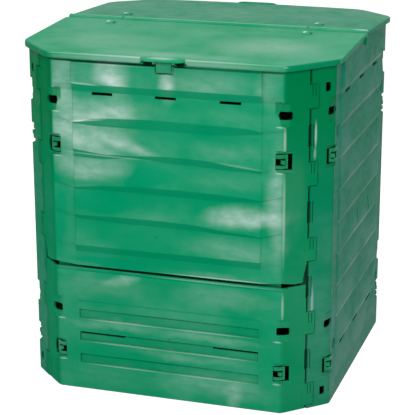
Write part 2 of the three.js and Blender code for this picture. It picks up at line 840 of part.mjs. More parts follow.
// The bar is thinner where the arms clip on, and its ends hook down over the side walls
function hingeBar() {
  const start = half + boardProud + seatGap;
  const end = start + hookThickness;
  const neckFrom = armPlace - armWide / 2 - clawGap;
  const neckTo = armPlace + armWide / 2 + clawGap;
  const profile = [[0, -end], [barRadius, -end], [barRadius, -neckTo], [neckRadius, -neckTo],
    [neckRadius, -neckFrom], [barRadius, -neckFrom], [barRadius, neckFrom],
    [neckRadius, neckFrom], [neckRadius, neckTo], [barRadius, neckTo], [barRadius, end], [0, end]];
  const geometry = new THREE.LatheGeometry(
    profile.map(([r, x]) => new THREE.Vector2(r, x)), barSides);
  geometry.rotateZ(-Math.PI / 2);
  const hooks = bothSides(box([start, -hookWide / 2, -hookDrop], [end, hookWide / 2, 0]));
  return joined([solid(geometry), ...hooks]);
}

// Assembly

function mesh(name, shape, color, roughness = 0.45) {
  const material = new THREE.MeshStandardMaterial({ color, roughness, metalness: 0 });
  const part = new THREE.Mesh(geometryOf(shape), material);
  part.name = name;
  return part;
}

function turned(children, turn) {
  const group = new THREE.Group();
  group.rotation.z = turn;
  group.add(...children);
  return group;
}

function clipsOf(wall, levels) {
  return levels.flatMap(([level, height]) => [
    mesh(`corner_clip_${wall}_${level}_a`, cornerClip(height, true), trimGreen),
    mesh(`corner_clip_${wall}_${level}_b`, cornerClip(height, false), trimGreen),
  ]);
}

const upperLevel = ['upper', upperClipHeight];
const lowerLevel = ['lower', lowerClipHeight];

function flapGroup(name, turn) {
  const flap = new THREE.Group();
  flap.rotation.x = lidPitch;
  flap.add(
    mesh(`lid_${name}`, lidFlap(), lidGreen),
    mesh(`hinge_arm_${name}_a`, hingeArm(-armPlace, -1), trimGreen),
    mesh(`hinge_arm_${name}_b`, hingeArm(armPlace, -1), trimGreen),
    mesh(`hinge_stud_${name}_a`, hingeStud(-studPlace), trimGreen),
    mesh(`hinge_stud_${name}_b`, hingeStud(studPlace), trimGreen),
    mesh(`lid_latch_${name}`, lidLatch(), trimGreen),
    mesh(`latch_pin_${name}`, latchPin(), trimGreen),
  );
  return turned([flap], turn);
}

function lid() {
  const group = new THREE.Group();
  group.position.z = hingeHeight;
  group.add(mesh('hinge_bar', hingeBar(), lidGreen), flapGroup('front', 0),
    flapGroup('rear', Math.PI));
  return group;
}

const compostBin = new THREE.Group();
compostBin.add(
  mesh('wall_front', frontWall(), bodyGreen),
  mesh('front_hatch', frontHatch(), bodyGreen),
  ...clipsOf('front', [upperLevel]),
  ...clipsOf('hatch', [lowerLevel]),
  turned([mesh('wall_right', sideWall(), sideGreen), ...clipsOf('right', [upperLevel, lowerLevel])],
    Math.PI / 2),
  turned([mesh('wall_back', backWall(), bodyGreen), ...clipsOf('back', [upperLevel, lowerLevel])],
    Math.PI),
  turned([mesh('wall_left', sideWall(), sideGreen), ...clipsOf('left', [upperLevel, lowerLevel])],
    -Math.PI / 2),
  lid(),
);

export default compostBin;
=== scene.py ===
# Looks of the compost bin: moulded wall panels, hatch, lid flaps, materials, light and camera.
# The frame is in metres; the numbers of the shapes below are millimetres, brought down by MM.
import bpy
import bmesh
import json
import math
import numpy as np
from mathutils import Matrix, Vector


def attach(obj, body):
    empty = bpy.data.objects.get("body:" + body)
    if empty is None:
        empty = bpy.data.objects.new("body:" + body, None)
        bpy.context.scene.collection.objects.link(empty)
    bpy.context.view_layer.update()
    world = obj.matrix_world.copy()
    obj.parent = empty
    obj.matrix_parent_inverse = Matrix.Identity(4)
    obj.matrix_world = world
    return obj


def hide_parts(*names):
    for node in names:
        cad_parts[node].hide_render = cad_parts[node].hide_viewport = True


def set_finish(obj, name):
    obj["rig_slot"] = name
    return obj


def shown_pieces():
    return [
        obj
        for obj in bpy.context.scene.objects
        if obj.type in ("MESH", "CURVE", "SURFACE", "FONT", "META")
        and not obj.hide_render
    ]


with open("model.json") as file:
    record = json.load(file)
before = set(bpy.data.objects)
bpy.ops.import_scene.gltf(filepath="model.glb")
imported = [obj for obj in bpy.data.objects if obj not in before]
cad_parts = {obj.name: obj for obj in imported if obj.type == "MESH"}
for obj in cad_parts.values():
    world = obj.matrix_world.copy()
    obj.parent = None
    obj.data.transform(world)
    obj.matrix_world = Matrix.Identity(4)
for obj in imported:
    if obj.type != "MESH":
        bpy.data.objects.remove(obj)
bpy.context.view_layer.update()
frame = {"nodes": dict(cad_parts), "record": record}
MM = 0.001

# Sizes shared with the CAD, in millimetres
HALF = 370.0  # half width of the body
FACE = 278.0  # half width of a face, up to the corner line
SKIN = 5.0
SEAM = 65.054  # from the corner line to the seam, along the flange
SEAM_END = SEAM - 2.9
CREASE = 225.0  # half width of the boards
PITCH = 77.0  # height of a board
UNDER = 17.0  # from a crest down to the deep line under it
PROUD, SINK = 5.0, 2.0  # a crest stands out, a deep line lies in
GROOVE = 9.0  # depth of the hatch's grooves
HINGE_Z = 835.0
TILT = math.radians(2.2)
LID_TOP, LID_UNDER = 3.0, -0.5  # above the hinge axis
LID_HALF = 382.0
LID_CORNER = FACE + 12.0 * math.tan(math.radians(22.5))
LID_ROUND = 60.0
PEAK = HINGE_Z + LID_UNDER / math.cos(TILT) - 0.3
EAVES = PEAK - (HALF + PROUD) * math.tan(TILT)
CREST = EAVES - 68.0  # the highest crest
EDGE_ROUND = 11.0
EDGE_C, EDGE_S, EDGE_T = (f(math.radians(22.5)) for f in (math.cos, math.sin, math.tan))
TABS = [EAVES - 72.0, (EAVES + 320.0) / 2, 392.0, 214.0, 36.0]
WINDOWS = [(high + low) / 2 for high, low in zip(TABS, TABS[1:])]
WINDOW_HALF, WINDOW_EDGE = 25.0, 60.05
LOCKS, LOCK_HALF, LOCK_DEEP = [EAVES - 108.0, 205.0], 27.0, 6.0
CLIPS, CLIP_HALF, CLIP_DEEP = [EAVES - 215.0, 98.0], 25.0, 9.0
ALL_POCKETS = list(zip(LOCKS, CLIPS))
UPPER, LOWER = ALL_POCKETS[:1], ALL_POCKETS[1:]
AIR_SLOTS, AIR_HALF, AIR_HIGH = (-152, 0, 152), 25.0, 3.5
SLOT_UP = CREST - UNDER - 4.0
SLOT_LOW = CREST - PITCH * 8 - UNDER - 4.0
SQUARES = (EAVES - 54.0, 38.0)  # square holes, dimples and slits of the side walls
DIMPLES = (EAVES - 168.0, 138.0)
SLITS, SLIT_Z = (-20.0, 100.0), CREST - PITCH * 5 + 19.5
CHANNEL_Z = 786.8  # foot of the channel that a catch hangs in
GROOVES = [204.0, 147.0, 90.0]  # upper edges of the hatch's grooves


# Mesh helpers

def new_object(name, verts, faces, smooth_angle=35.0):
    mesh = bpy.data.meshes.new(name)
    mesh.from_pydata([tuple(v) for v in verts], [], faces)
    mesh.validate()
    mesh.update()
    bm = bmesh.new()
    bm.from_mesh(mesh)
    bmesh.ops.recalc_face_normals(bm, faces=bm.faces)
    bm.to_mesh(mesh)
    bm.free()
    mesh.shade_smooth()
    mesh.set_sharp_from_angle(angle=math.radians(smooth_angle))
    obj = bpy.data.objects.new(name, mesh)
    bpy.context.scene.collection.objects.link(obj)
    return obj


def bevel(obj, width, segments=2, angle=40.0):
    mod = obj.modifiers.new("edges", "BEVEL")
    mod.width = width * MM
    mod.segments = segments
    mod.limit_method = "ANGLE"
    mod.angle_limit = math.radians(angle)
    mod.harden_normals = False
    return obj


def ramp(value, start, end):
    """0 before start, 1 after end, smooth between; works with start above end too."""
    t = np.clip((value - start) / (end - start), 0.0, 1.0)
    return t * t * (3 - 2 * t)


def line(value, start, end):
    return np.clip((value - start) / (end - start), 0.0, 1.0)


def band(value, low, high, soft):
    """1 between low and high, 0 outside, over soft at each end."""
    return line(value, low - soft / 2, low + soft / 2) * line(value, high + soft / 2, high - soft / 2)


def lines(*groups):
    """Sorted grid lines from lists of numbers, without near doubles."""
    values = sorted(float(v) for g in groups for v in g)
    out = [values[0]]
    for v in values[1:]:
        if v - out[-1] > 0.35:
            out.append(v)
    return np.array(out)


def spread(low, high, step):
    n = max(1, int(math.ceil((high - low) / step)))
    return [low + (high - low) * i / n for i in range(n + 1)]


def turned(points, turn=0.0):
    """Points in millimetres, turned about Z and brought to metres."""
    co, si = math.cos(turn), math.sin(turn)
    x, y, z = np.array(points, float).T
    return np.stack([x * co - y * si, x * si + y * co, z], 1) * MM


def joined(parts):
    """Vertices and faces of several pieces as one."""
    verts, faces = [], []
    for v, f in parts:
        faces += [[i + len(verts) for i in q] for q in f]
        verts += list(v)
    return verts, faces


def sheet(cols, rows, place, cut=lambda u, z: np.zeros_like(z, bool)):
    """A closed sheet: outer and inner skin from place(u, z, inner), holes where cut(u, z)."""
    u, z = np.meshgrid(cols, rows)
    skins = [place(u, z, 0.0), place(u, z, 1.0)]
    kept = ~cut(*np.meshgrid((cols[1:] + cols[:-1]) / 2, (rows[1:] + rows[:-1]) / 2))
    nr, nc = u.shape
    ids = np.arange(nr * nc).reshape(nr, nc)
    r, c = np.nonzero(kept)
    quad = np.stack([ids[r, c], ids[r, c + 1], ids[r + 1, c + 1], ids[r + 1, c]], 1)
    off = nr * nc
    faces = [quad, quad[:, ::-1] + off]
    # both skins are joined along the open sides of the kept cells
    padded = np.pad(kept, 1)
    for dr, dc, a, b in ((-1, 0, (0, 0), (0, 1)), (0, 1, (0, 1), (1, 1)),
                         (1, 0, (1, 1), (1, 0)), (0, -1, (1, 0), (0, 0))):
        r, c = np.nonzero(kept & ~padded[1 + dr:nr + dr, 1 + dc:nc + dc])
        p, q = ids[r + a[0], c + a[1]], ids[r + b[0], c + b[1]]
        faces.append(np.stack([q, p, p + off, q + off], 1))
    faces = np.concatenate(faces)
    verts = np.concatenate([s.reshape(-1, 3) for s in skins])
    used = np.unique(faces)
    lookup = np.full(len(verts), -1)
    lookup[used] = np.arange(len(used))
    return verts[used].tolist(), lookup[faces].tolist()


def shell(name, cols, rows, place, cut, turn=0.0, extra=()):
    """A wall panel as one object, with extra pieces."""
    verts, faces = joined([sheet(cols, rows, place, cut), *extra])
    return new_object(name, turned(verts, turn), faces)


def block(low, high):
    """Corners and faces of a closed box."""
    (x0, y0, z0), (x1, y1, z1) = low, high
    verts = [(x, y, z) for z in (z0, z1) for x, y in ((x0, y0), (x1, y0), (x1, y1), (x0, y1))]
    return verts, [(0, 3, 2, 1), (4, 5, 6, 7), (0, 1, 5, 4), (1, 2, 6, 5), (2, 3, 7, 6), (3, 0, 4, 7)]


# Wall panels, all described as the front one: u runs along the outline from seam to seam

def outline(u, inner):
    """The plan outline of the outer or inner skin: side, way past the corner line, depth of the rounded
    edge below the corner line, whether u is at the corner, x and y."""
    side, s = np.sign(u), np.abs(u) - FACE
    off = SKIN * inner
    w = s * EDGE_C
    depth = EDGE_T * np.sqrt(w * w + EDGE_ROUND) + off / EDGE_C
    corner = np.abs(s) < 30.0
    x = np.where(s < 0, np.abs(u), FACE + (s - off) / math.sqrt(2))
    y = np.where(s < 0, -HALF + off, -HALF + (s + off) / math.sqrt(2))
    x = np.where(corner, FACE + w * EDGE_C - depth * EDGE_S, x)
    y = np.where(corner, -HALF + w * EDGE_S + depth * EDGE_C, y)
    return side, s, depth, corner, x, y


def pockets(z, inner, heights):
    """Depth of the corner pockets at height z, below the edge between face and flange."""
    grow = SKIN * 0.8 * inner
    total = np.zeros_like(z)
    for lock, clip in heights:
        for middle, half, deep in ((lock, LOCK_HALF + grow, LOCK_DEEP), (clip, CLIP_HALF + grow, CLIP_DEEP)):
            total = np.maximum(total, deep * band(z, middle - half, middle + half, 0.9))
    return total


def straight(end_drop=8.0, end_rise=5.0):
    """A ledge that narrows a little at both ends: (place, crest offset, deep offset)."""
    return [(-CREASE, -end_drop, end_rise), (-150.0, 0.0, 0.0), (150.0, 0.0, 0.0),
            (CREASE, -end_drop, end_rise)]


MARGIN_DEPTHS, MARGIN_DEPTH = {0: 5.0, 1: 2.6}, 2.0  # beside the boards, at the deep line of each ledge


def boards(u, z, ledges, waves, groove_depth):
    """(waved height, depth) of the lapped boards: proud at each crest, sunk at the deep line under it."""
    if not ledges:
        return z, np.zeros_like(z)
    a, flat = np.abs(u), np.zeros_like(u)
    across = np.clip(u, -CREASE, CREASE)
    settle = line(a, FACE + 30.0, FACE)
    middle = (SINK - PROUD) / 2
    # (height, lift, depth, depth of the margin) of the lines that fix the section, from the top down
    fixed = [(CREST - PITCH * ledges[0] + 45.0, flat, flat - PROUD, flat)]
    for k in ledges:
        first = k == ledges[0]
        places, high, low = (np.array(c, float) for c in zip(*waves[k]))
        up, down = np.interp(across, places, high), np.interp(across, places, low)
        share = flat + 1.0 if first else np.clip((UNDER + up - down) / UNDER, 0.0, 1.0) ** 0.7
        rise = flat if first else 14.0 * line(a, CREASE, FACE)
        margin = MARGIN_DEPTHS.get(k, MARGIN_DEPTH)
        crest = CREST - PITCH * k
        fixed += [(crest, (up + rise) * settle, middle + (-PROUD - middle) * share,
                   flat + (0.0 if first else margin * 0.12)),
                  (crest - UNDER, (down + rise) * settle, middle + (SINK - middle) * share, flat + margin)]
    foot = CREST - PITCH * (ledges[-1] + 1)
    fixed.append((foot, flat, flat, flat + (0.0 if foot > 0 else 5.0)))
    knots, lifts, depths, margins = (np.array(c) for c in zip(*fixed))

    def at(height, values):
        t = np.clip(height, knots[-1], knots[0])
        i = np.clip(np.searchsorted(-knots, -t, side="right") - 1, 0, len(knots) - 2)
        f = (knots[i] - t) / (knots[i] - knots[i + 1])
        low = np.take_along_axis(values, i[None], 0)[0]
        high = np.take_along_axis(values, i[None] + 1, 0)[0]
        return low + (high - low) * f

    def softened(values):
        return 0.25 * at(z - 1.2, values) + 0.5 * at(z, values) + 0.25 * at(z + 1.2, values)

    margin = softened(margins) * line(a, FACE - 1.0, FACE - 9.0)
    fade = 0.8 if groove_depth > 0 else 5.5
    inside = line(a, CREASE + fade, CREASE - fade)
    # a narrow groove runs down both sides of the boards
    groove = groove_depth * np.exp(-((a - CREASE - 2.0) / 2.1) ** 2) * (0.35 + 0.65 * line(z, 735.0, 770.0))
    return z + at(z, lifts), inside * softened(depths) + (1.0 - inside) * margin + groove * (z > foot)


def wall_place(ledges, waves, pocket_heights, more, top_of=None, groove=2.6):
    """place(u, z, inner) for a wall panel, with more(u, z, height, depth, inner) of its own."""
    def place(u, z, inner):
        side, s, depth, corner, x, y = outline(u, inner)
        zz, d = more(u, z, *boards(u, z, ledges, waves, groove), inner)
        # the waves of the boards end round the corner pockets
        still = np.zeros_like(z)
        for lock, clip in pocket_heights:
            for middle, half in ((lock, LOCK_HALF + 16), (clip, CLIP_HALF + 16)):
                still = np.maximum(still, band(z, middle - half, middle + half, 24))
        still = still * line(np.abs(u), 239.0, 251.0)
        zz = zz + (z - zz) * still
        # pockets cut the corner edge off square to its bisector
        pocket = pockets(z, inner, pocket_heights)
        deeper = np.maximum(depth, pocket + SKIN * inner) - depth
        deeper = np.where(corner & (pocket > 0.01), deeper, 0.0)
        x = x - deeper * EDGE_S
        y = y + deeper * EDGE_C
        # d presses straight inwards on the face and along the flange's own normal on the flange
        on_flange = line(s, 6.0, 16.0)
        x = x - d * math.sin(math.pi / 4) * on_flange
        y = y + d * (1.0 - (1.0 - math.cos(math.pi / 4)) * on_flange)
        if top_of is not None:
            low = 792.0
            zz = np.where(z > low, low + (z - low) * (top_of(x) - low) / (PEAK - low), zz)
        return np.stack([x * side, y, zz], -1)
    return place


def hole(u, z, u_low, u_high, z_low, z_high):
    return (u > u_low) & (u < u_high) & (z > z_low) & (z < z_high)


def round_box(x, z, cx, cz, hx, hz, r):
    """Signed distance to a box with rounded corners."""
    qx, qz = np.abs(x - cx) - hx + r, np.abs(z - cz) - hz + r
    return np.hypot(np.maximum(qx, 0), np.maximum(qz, 0)) + np.minimum(np.maximum(qx, qz), 0) - r


def wall_holes(u, z, pocket_heights, air=()):
    """The holes that the panels share: in the corner pockets, at the seams, the air slots."""
    s = np.abs(u) - FACE
    cut = np.zeros_like(u, bool)
    for lock, clip in pocket_heights:
        cut |= round_box(s, z, 2.5, lock - 2, 16.5, 9.5, 4.0) < 0
        cut |= hole(s, z, -21.0, 20.0, clip - 19, clip + 19)
    for w in WINDOWS:
        cut |= hole(s, z, WINDOW_EDGE, 70, w - WINDOW_HALF, w + WINDOW_HALF)
    for height in air:
        for x in AIR_SLOTS:
            cut |= hole(u, z, x - AIR_HALF, x + AIR_HALF, height - AIR_HIGH, height + AIR_HIGH)
    return cut


def wall_cols(extra=()):
    """Grid columns of a panel, close together at the creases and round the corner edge."""
    edge = [0, 1.2, 2.6, 4.5, 8.3, 11.4, 12.6, 14.0, 16.5, 17.8, 19.0, 20.0, 21.0, 23.4, 26.0, 29.9, 30.1]
    one = spread(0, 217, 10.5) + [221, 223.6, 224.4, 225.6, 226.4, 229, 234, 240] + [FACE - e for e in edge]
    one += [FACE + e for e in edge + [34, 38, 42, 48, 54, WINDOW_EDGE, SEAM_END]] + list(extra)
    return lines(one, [-v for v in one])


def wall_rows(low, high, ledges, heights, air=(), extra=(), windows=tuple(WINDOWS)):
    """Grid rows of a panel, close together at the ledges, pockets and holes."""
    rows = spread(low, high, 11.0) + list(extra)
    for k in ledges:
        for at in (CREST - PITCH * k, CREST - PITCH * k - UNDER):
            rows += [at + d for d in (2.6, 1.3, 0, -1.3, -2.6)]
    for lock, clip in heights:
        for e, grow in ((lock + LOCK_HALF, 4), (lock - LOCK_HALF, -4), (clip + CLIP_HALF, 4), (clip - CLIP_HALF, -4)):
            rows += [e - 0.45, e + 0.45, e + grow - 0.45, e + grow + 0.45, e - grow * 0.5]
        rows += [lock + e for e in (7.5, 6.4, 5.2, 4.0, -8.0, -9.2, -10.4, -11.5)] + [clip + 19, clip - 19]
    rows += [h + e for h in air for e in (-AIR_HIGH, AIR_HIGH)]
    rows += [w + e for w in windows for e in (-WINDOW_HALF, WINDOW_HALF)]
    return lines([r for r in rows if low <= r <= high], [low, high])


def channel(u, z, inner):
    """Open-topped pocket that the catch hangs in."""
    grow = 3.5 * inner
    d = round_box(u, z, 0.0, CHANNEL_Z + 60, 22.0 + grow, 60.0 + grow, 5.0)
    return line(d, 0.7, -0.9)


def head(u, z, d, inner):
    """Depth d with the channel, and with a narrow step and a thin groove under the rim of the lid."""
    into = channel(u, z, inner)
    bead = band(z, 808.0, 830.0, 1.6) + 3.2 * band(z, 803.6, 806.4, 1.0)
    return d + (5.0 - d) * into + bead * line(np.abs(u), FACE - 2, FACE - 6) * (1 - into) * (1 - inner)


AIR_COLS = [x + e for x in AIR_SLOTS for e in (-AIR_HALF, AIR_HALF)]
HEAD_COLS = AIR_COLS + spread(12, 30, 1.5)
HEAD_ROWS = spread(782, 796, 1.5) + [803.1, 804.1, 805.9, 806.9, 808.8]

# Front wall
FRONT_LEDGES = [0, 1, 2, 3, 4, 5]
FRONT_WAVES = {
    0: [(-CREASE, 0, 0), (CREASE, 0, 0)],
    1: [(-CREASE, -14, 1.2), (-200, -9, 0), (-180, -3, -1.8), (-150, 1, -2.5), (-35, 6.0, -2.8), (27, 5.2, -3.3),
        (88, 4, -4), (150, 2.8, -1.3), (190, 1.8, 3), (CREASE, -3.8, 6.5)],
    2: [(-CREASE, 1.5, -0.6), (-150, -7, -2.6), (-100, -6, 4), (-75, -6.5, 8), (-40, -3, 4), (10, 0, -1),
        (60, -1, -1), (121, -4, -4), (150, -6, -6), (190, -10, -5), (CREASE, -15, -7)],
    3: [(-CREASE, -14, -2), (-160, -6, 0), (-60, 0, 0), (60, 0, -2), (140, -2, -2), (190, -4, 2), (CREASE, -9, 5)],
    4: [(-CREASE, -4, 4), (-120, -1, 0), (0, 0, 0), (80, -3, 0), (120, -9, -2), (180, -13, -3), (CREASE, -17, -3)],
    5: [(-CREASE, 0, 0), (CREASE, 0, 0)],
}


def front_more(u, z, zz, d, inner):
    # the lower corners of the flanges are cut back and rounded
    lift = 7.0 * line(z, 326.0, 314.0) * ramp(np.abs(u) - FACE, 48.0, SEAM_END)
    return zz + lift, head(u, z, d, inner)


front_base = wall_place(FRONT_LEDGES, FRONT_WAVES, UPPER, front_more)


def front_place(u, z, inner):
    s = np.abs(u) - FACE
    back = 8.0 * np.where(z < 332, 1.0, line(z, 362.0, 332.0)) * line(s, 30.0, SEAM_END)
    return front_base(u - np.sign(u) * back, z, inner)


def hem(bottom):
    """The foot of a panel, turned inwards."""
    return block((-258, -HALF + 2.5, bottom), (258, -HALF + 25, bottom + 4))


lap = block((-272, -HALF + 6.2, 300.2), (272, -HALF + 10, 325))
front_wall = shell("front_wall", wall_cols(HEAD_COLS),
                   wall_rows(315.2, EAVES, FRONT_LEDGES, UPPER, [SLOT_UP], HEAD_ROWS + [332, 326, 320, 317, 362, 350]),
                   front_place, lambda u, z: wall_holes(u, z, UPPER, [SLOT_UP]), extra=[lap])
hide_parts("wall_front")
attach(front_wall, "bin")
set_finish(front_wall, "panel_plastic")

# Back wall
BACK_LEDGES = list(range(9))
BACK_WAVES = {k: straight() for k in BACK_LEDGES}
BACK_WAVES[0] = straight(0.0, 0.0)
BOTH_SLOTS = [SLOT_UP, SLOT_LOW]


def back_more(u, z, zz, d, inner):
    return zz, head(u, z, d, inner)


back_wall = shell("back_wall", wall_cols(HEAD_COLS),
                  wall_rows(0.0, EAVES, BACK_LEDGES, ALL_POCKETS, BOTH_SLOTS, HEAD_ROWS + [60]),
                  wall_place(BACK_LEDGES, BACK_WAVES, ALL_POCKETS, back_more),
                  lambda u, z: wall_holes(u, z, ALL_POCKETS, BOTH_SLOTS), turn=math.pi, extra=[hem(0)])
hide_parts("wall_back")
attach(back_wall, "bin")
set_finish(back_wall, "panel_plastic")


# Side walls
def gable(x):
    return PEAK - np.abs(x) * math.tan(TILT)


def side_more(u, z, zz, d, inner):
    a, s = np.abs(u), np.abs(u) - FACE
    grow = 3.5 * inner
    # seats for the tabs of the neighbours
    for t in TABS:
        d = d + 3.0 * line(s, SEAM - 22.5 - grow - 0.5, SEAM - 22.5 - grow + 0.5) \
            * band(z, t - 29 - grow, t + 29 + grow, 0.9)
    for h in DIMPLES:
        r = np.hypot(a - (FACE - 37), z - h)
        d = d + 2.6 * line(r, 15.2 + grow * 0.3, 13.4 + grow * 0.3)
    for x in SLITS:
        r = round_box(u, z, x, SLIT_Z, 3.0, 19.0, 2.4)
        d = d + 3.2 * line(r, 0.5, -1.2) * (1 - inner)
    return zz, d


def side_holes(u, z):
    """The shared holes, the bar's notch, the square holes and slots beside the seams."""
    a, s = np.abs(u), np.abs(u) - FACE
    cut = wall_holes(u, z, ALL_POCKETS, BOTH_SLOTS) | hole(a, z, -1, 7.3, HINGE_Z - 7.3, 900)
    for h in SQUARES:
        cut |= hole(s, z, 13, 27, h - 10.5, h + 10.5)
    for w in WINDOWS:
        cut |= hole(s, z, SEAM - 11, SEAM - 8, w - WINDOW_HALF, w + WINDOW_HALF)
    return cut


side_place = wall_place(BACK_LEDGES, BACK_WAVES, ALL_POCKETS, side_more, gable, 0.0)
side_cols = wall_cols(AIR_COLS + [7.3] + spread(222.5, 260, 1.9)
                      + [FACE + e for e in (13, 27, 42.05, 43.05, 38.5, 39.5, SEAM - 11, SEAM - 8)]
                      + [x + e for x in (20, 100) for e in (-4.5, -2.8, -1.2, 1.2, 2.8, 4.5)])
side_rows = wall_rows(0.0, PEAK, BACK_LEDGES, ALL_POCKETS, BOTH_SLOTS,
                      [60, HINGE_Z - 7.3, EAVES - 43.5, EAVES - 64.5, 48.5, 27.5]
                      + [t + e for t in TABS for e in (-29.5, -28.5, 28.5, 29.5, -33, 33)]
                      + spread(636, 668, 2.0) + spread(122, 154, 2.0)
                      + [SLIT_Z + e for e in (-20.5, -19, -17, -14, 14, 17, 19, 20.5)])
for name, node, turn in (("right_wall", "wall_right", math.pi / 2), ("left_wall", "wall_left", -math.pi / 2)):
    wall = shell(name, side_cols, side_rows, side_place, side_holes, turn=turn, extra=[hem(0)])
    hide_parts(node)
    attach(wall, "bin")
    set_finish(wall, "side_plastic")


# Hatch
def hatch_more(u, z, zz, d, inner):
    a = np.abs(u)
    grow = 3.5 * inner
    zone = line(a, CREASE + 0.1, CREASE - 1.1) * band(z, 61.0, 226.0, 3.0)
    d = d + 0.8 * zone * (1 - inner)
    for g in GROOVES:
        cut = line(a, 221.5 + grow, 220.5 + grow) * band(z, g - 23 - grow, g + grow, 1.0)
        d = np.maximum(d, GROOVE * cut)
    return zz, d + 0.9 * band(z, 298.5, 301.5, 1.4) * line(a, 281.0, 277.0) * (1 - inner)


def hatch_holes(u, z):
    return wall_holes(u, z, LOWER) | hole(np.abs(u), z, 109, 221, GROOVES[1] - 8.0, GROOVES[1] - 0.5)


groove_rows = [g + e for g in GROOVES for e in (-27, -26, -23.5, -22.5, -0.5, 0.5, 3, 4, -8)]
hatch = shell("hatch_panel", wall_cols([109, 220.5, 221.5, 224.0, 225.0]),
              wall_rows(2.0, 309.0, [], LOWER, windows=WINDOWS[3:],
                        extra=groove_rows + [59.5, 62.5, 224.5, 227.5, 297.8, 299.2, 300.8, 302.2]),
              wall_place([], {}, LOWER, hatch_more), hatch_holes, extra=[hem(2)])
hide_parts("front_hatch")
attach(hatch, "hatch")
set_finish(hatch, "panel_plastic")


# Hook tabs over the corner seams, each with two slits in its upper half
def tab_pieces(heights, turn):
    cols = np.array([-10, 3, 5.5, 11, 13.5, 20.0])
    parts = []
    for z0 in heights:
        def place(c, z, inner):
            y = 4.0 * inner - 1.4
            c = np.where((c > 19) & (z < z0 - 26), c - 2.5, c)
            return np.stack([324 + (c - y) / math.sqrt(2), -324 + (c + y) / math.sqrt(2), z], -1)

        verts, faces = sheet(cols, z0 + np.array([-26.5, -24.0, 0, 25, 26.5]), place, lambda c, z:
                             hole(c, z, 3, 5.5, z0, z0 + 25) | hole(c, z, 11, 13.5, z0, z0 + 25))
        parts += [([(x * side, y, z) for x, y, z in verts], faces) for side in (1, -1)]
    verts, faces = joined(parts)
    return turned(verts, turn), faces


for name, heights, turn, body in (("front_tabs", TABS[:3], 0.0, "bin"),
                                  ("hatch_tabs", TABS[3:], 0.0, "hatch"),
                                  ("back_tabs", TABS, math.pi, "bin")):
    tabs = bevel(new_object(name, *tab_pieces(heights, turn)), 0.7)
    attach(tabs, body)
    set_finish(tabs, "panel_plastic")


# Sprung clips in the corner pockets: a spine with three bowed tongues
def swept(section, low, high):
    """A closed strip: an (across, into) centre line of half thickness h from height low to high."""
    a, y, h = np.array(section).T
    return sheet(np.arange(len(a)), np.array([low, high]),
                 lambda i, z, inner: np.stack([a[i], y[i] + h[i] * (2 * inner - 1), z], -1))


def clip_pieces(heights, turn):
    parts = []
    for z in heights:
        strips = [swept([(3.0, 9.6, 1.2), (8.6, 9.6, 1.2)], z - 15.5, z + 17.2)]
        for low, high, start, bow in ((z + 7.8, z + 17.2, -18.5, 3.2), (z - 4.8, z + 4.8, -8.0, 6.0),
                                      (z - 15.5, z - 7.8, -18.5, 4.4)):
            tongue = [(start + (4.0 - start) * t, 9.4 - bow * math.sin(math.pi * t), 1.1)
                      for t in [i / 8 for i in range(9)]]
            strips.append(swept(tongue, low, high))
        parts += [([((FACE + a * EDGE_C - y * EDGE_S) * side, -HALF + a * EDGE_S + y * EDGE_C, h)
                    for a, y, h in v], f) for side in (1, -1) for v, f in strips]
    verts, faces = joined(parts)
    return turned(verts, turn), faces


CLIP_AT = dict(zip(("upper", "lower"), CLIPS))
for wall, body, turn, levels in (("front", "bin", 0.0, ["upper"]), ("hatch", "hatch", 0.0, ["lower"]),
                                 ("right", "bin", math.pi / 2, CLIP_AT), ("left", "bin", -math.pi / 2, CLIP_AT),
                                 ("back", "bin", math.pi, CLIP_AT)):
    clips = bevel(new_object(f"{wall}_clips", *clip_pieces([CLIP_AT[level] for level in levels], turn)), 0.5)
    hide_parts(*[f"corner_clip_{wall}_{level}_{tag}" for level in levels for tag in "ab"])
    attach(clips, body)
    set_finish(clips, "trim_plastic")


# Dark strips inside the corners, behind the seams: a sheet that stands in for the shade seen through the seam windows,
# darkened further by painted shade
verts, faces = block((-12.0, 11.0, 6.0), (12.0, 13.0, 806.0))
verts = [(324 + (a - y) / math.sqrt(2), -324 + (a + y) / math.sqrt(2), h) for a, y, h in verts]
strips = [(turned(verts, quarter * math.pi / 2), faces) for quarter in range(4)]
shade_strips = new_object("seam_shade_strips", *joined(strips))
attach(shade_strips, "bin")
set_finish(shade_strips, "trim_plastic")


# Sloping visors inside, over the air slots
def visor_pieces(heights, turn):
    verts, faces = joined(block((x - 30, -HALF + 4.5, height), (x + 30, -HALF + 26, height + 2))
                          for height in heights for x in AIR_SLOTS)
    return turned([(a, y, h + 8.7 - 0.372 * (y + HALF)) for a, y, h in verts], turn), faces


for wall, turn, heights in (("front", 0.0, [SLOT_UP]), ("back", math.pi, BOTH_SLOTS),
                            ("right", math.pi / 2, BOTH_SLOTS), ("left", -math.pi / 2, BOTH_SLOTS)):
    visors = new_object(f"{wall}_slot_visors", *visor_pieces(heights, turn))
    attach(visors, "bin")
    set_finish(visors, "trim_plastic")

# Lid flaps, drawn flat as the front one; sizes of the rim along their edge
RIM = -10.2  # lower edge of the rim
LIP_RISE = 8.2  # the rim is higher under the grip lip
RIDGE_RISE = 4.6  # and towards the ridge
RIDGE_FALL = 2.3  # the top falls beside the ridge, so that open flaps stay apart
EDGE = [(1.5, -0.25), (0.6, -0.95), (0.1, -2.0), (0.0, -3.2)]  # inset and height: rounded top edge
FOOT = [(0.0, 1.0), (0.35, 0.25), (1.0, 0.0), (2.4, 0.0), (3.0, 0.5)]  # and the rim's foot


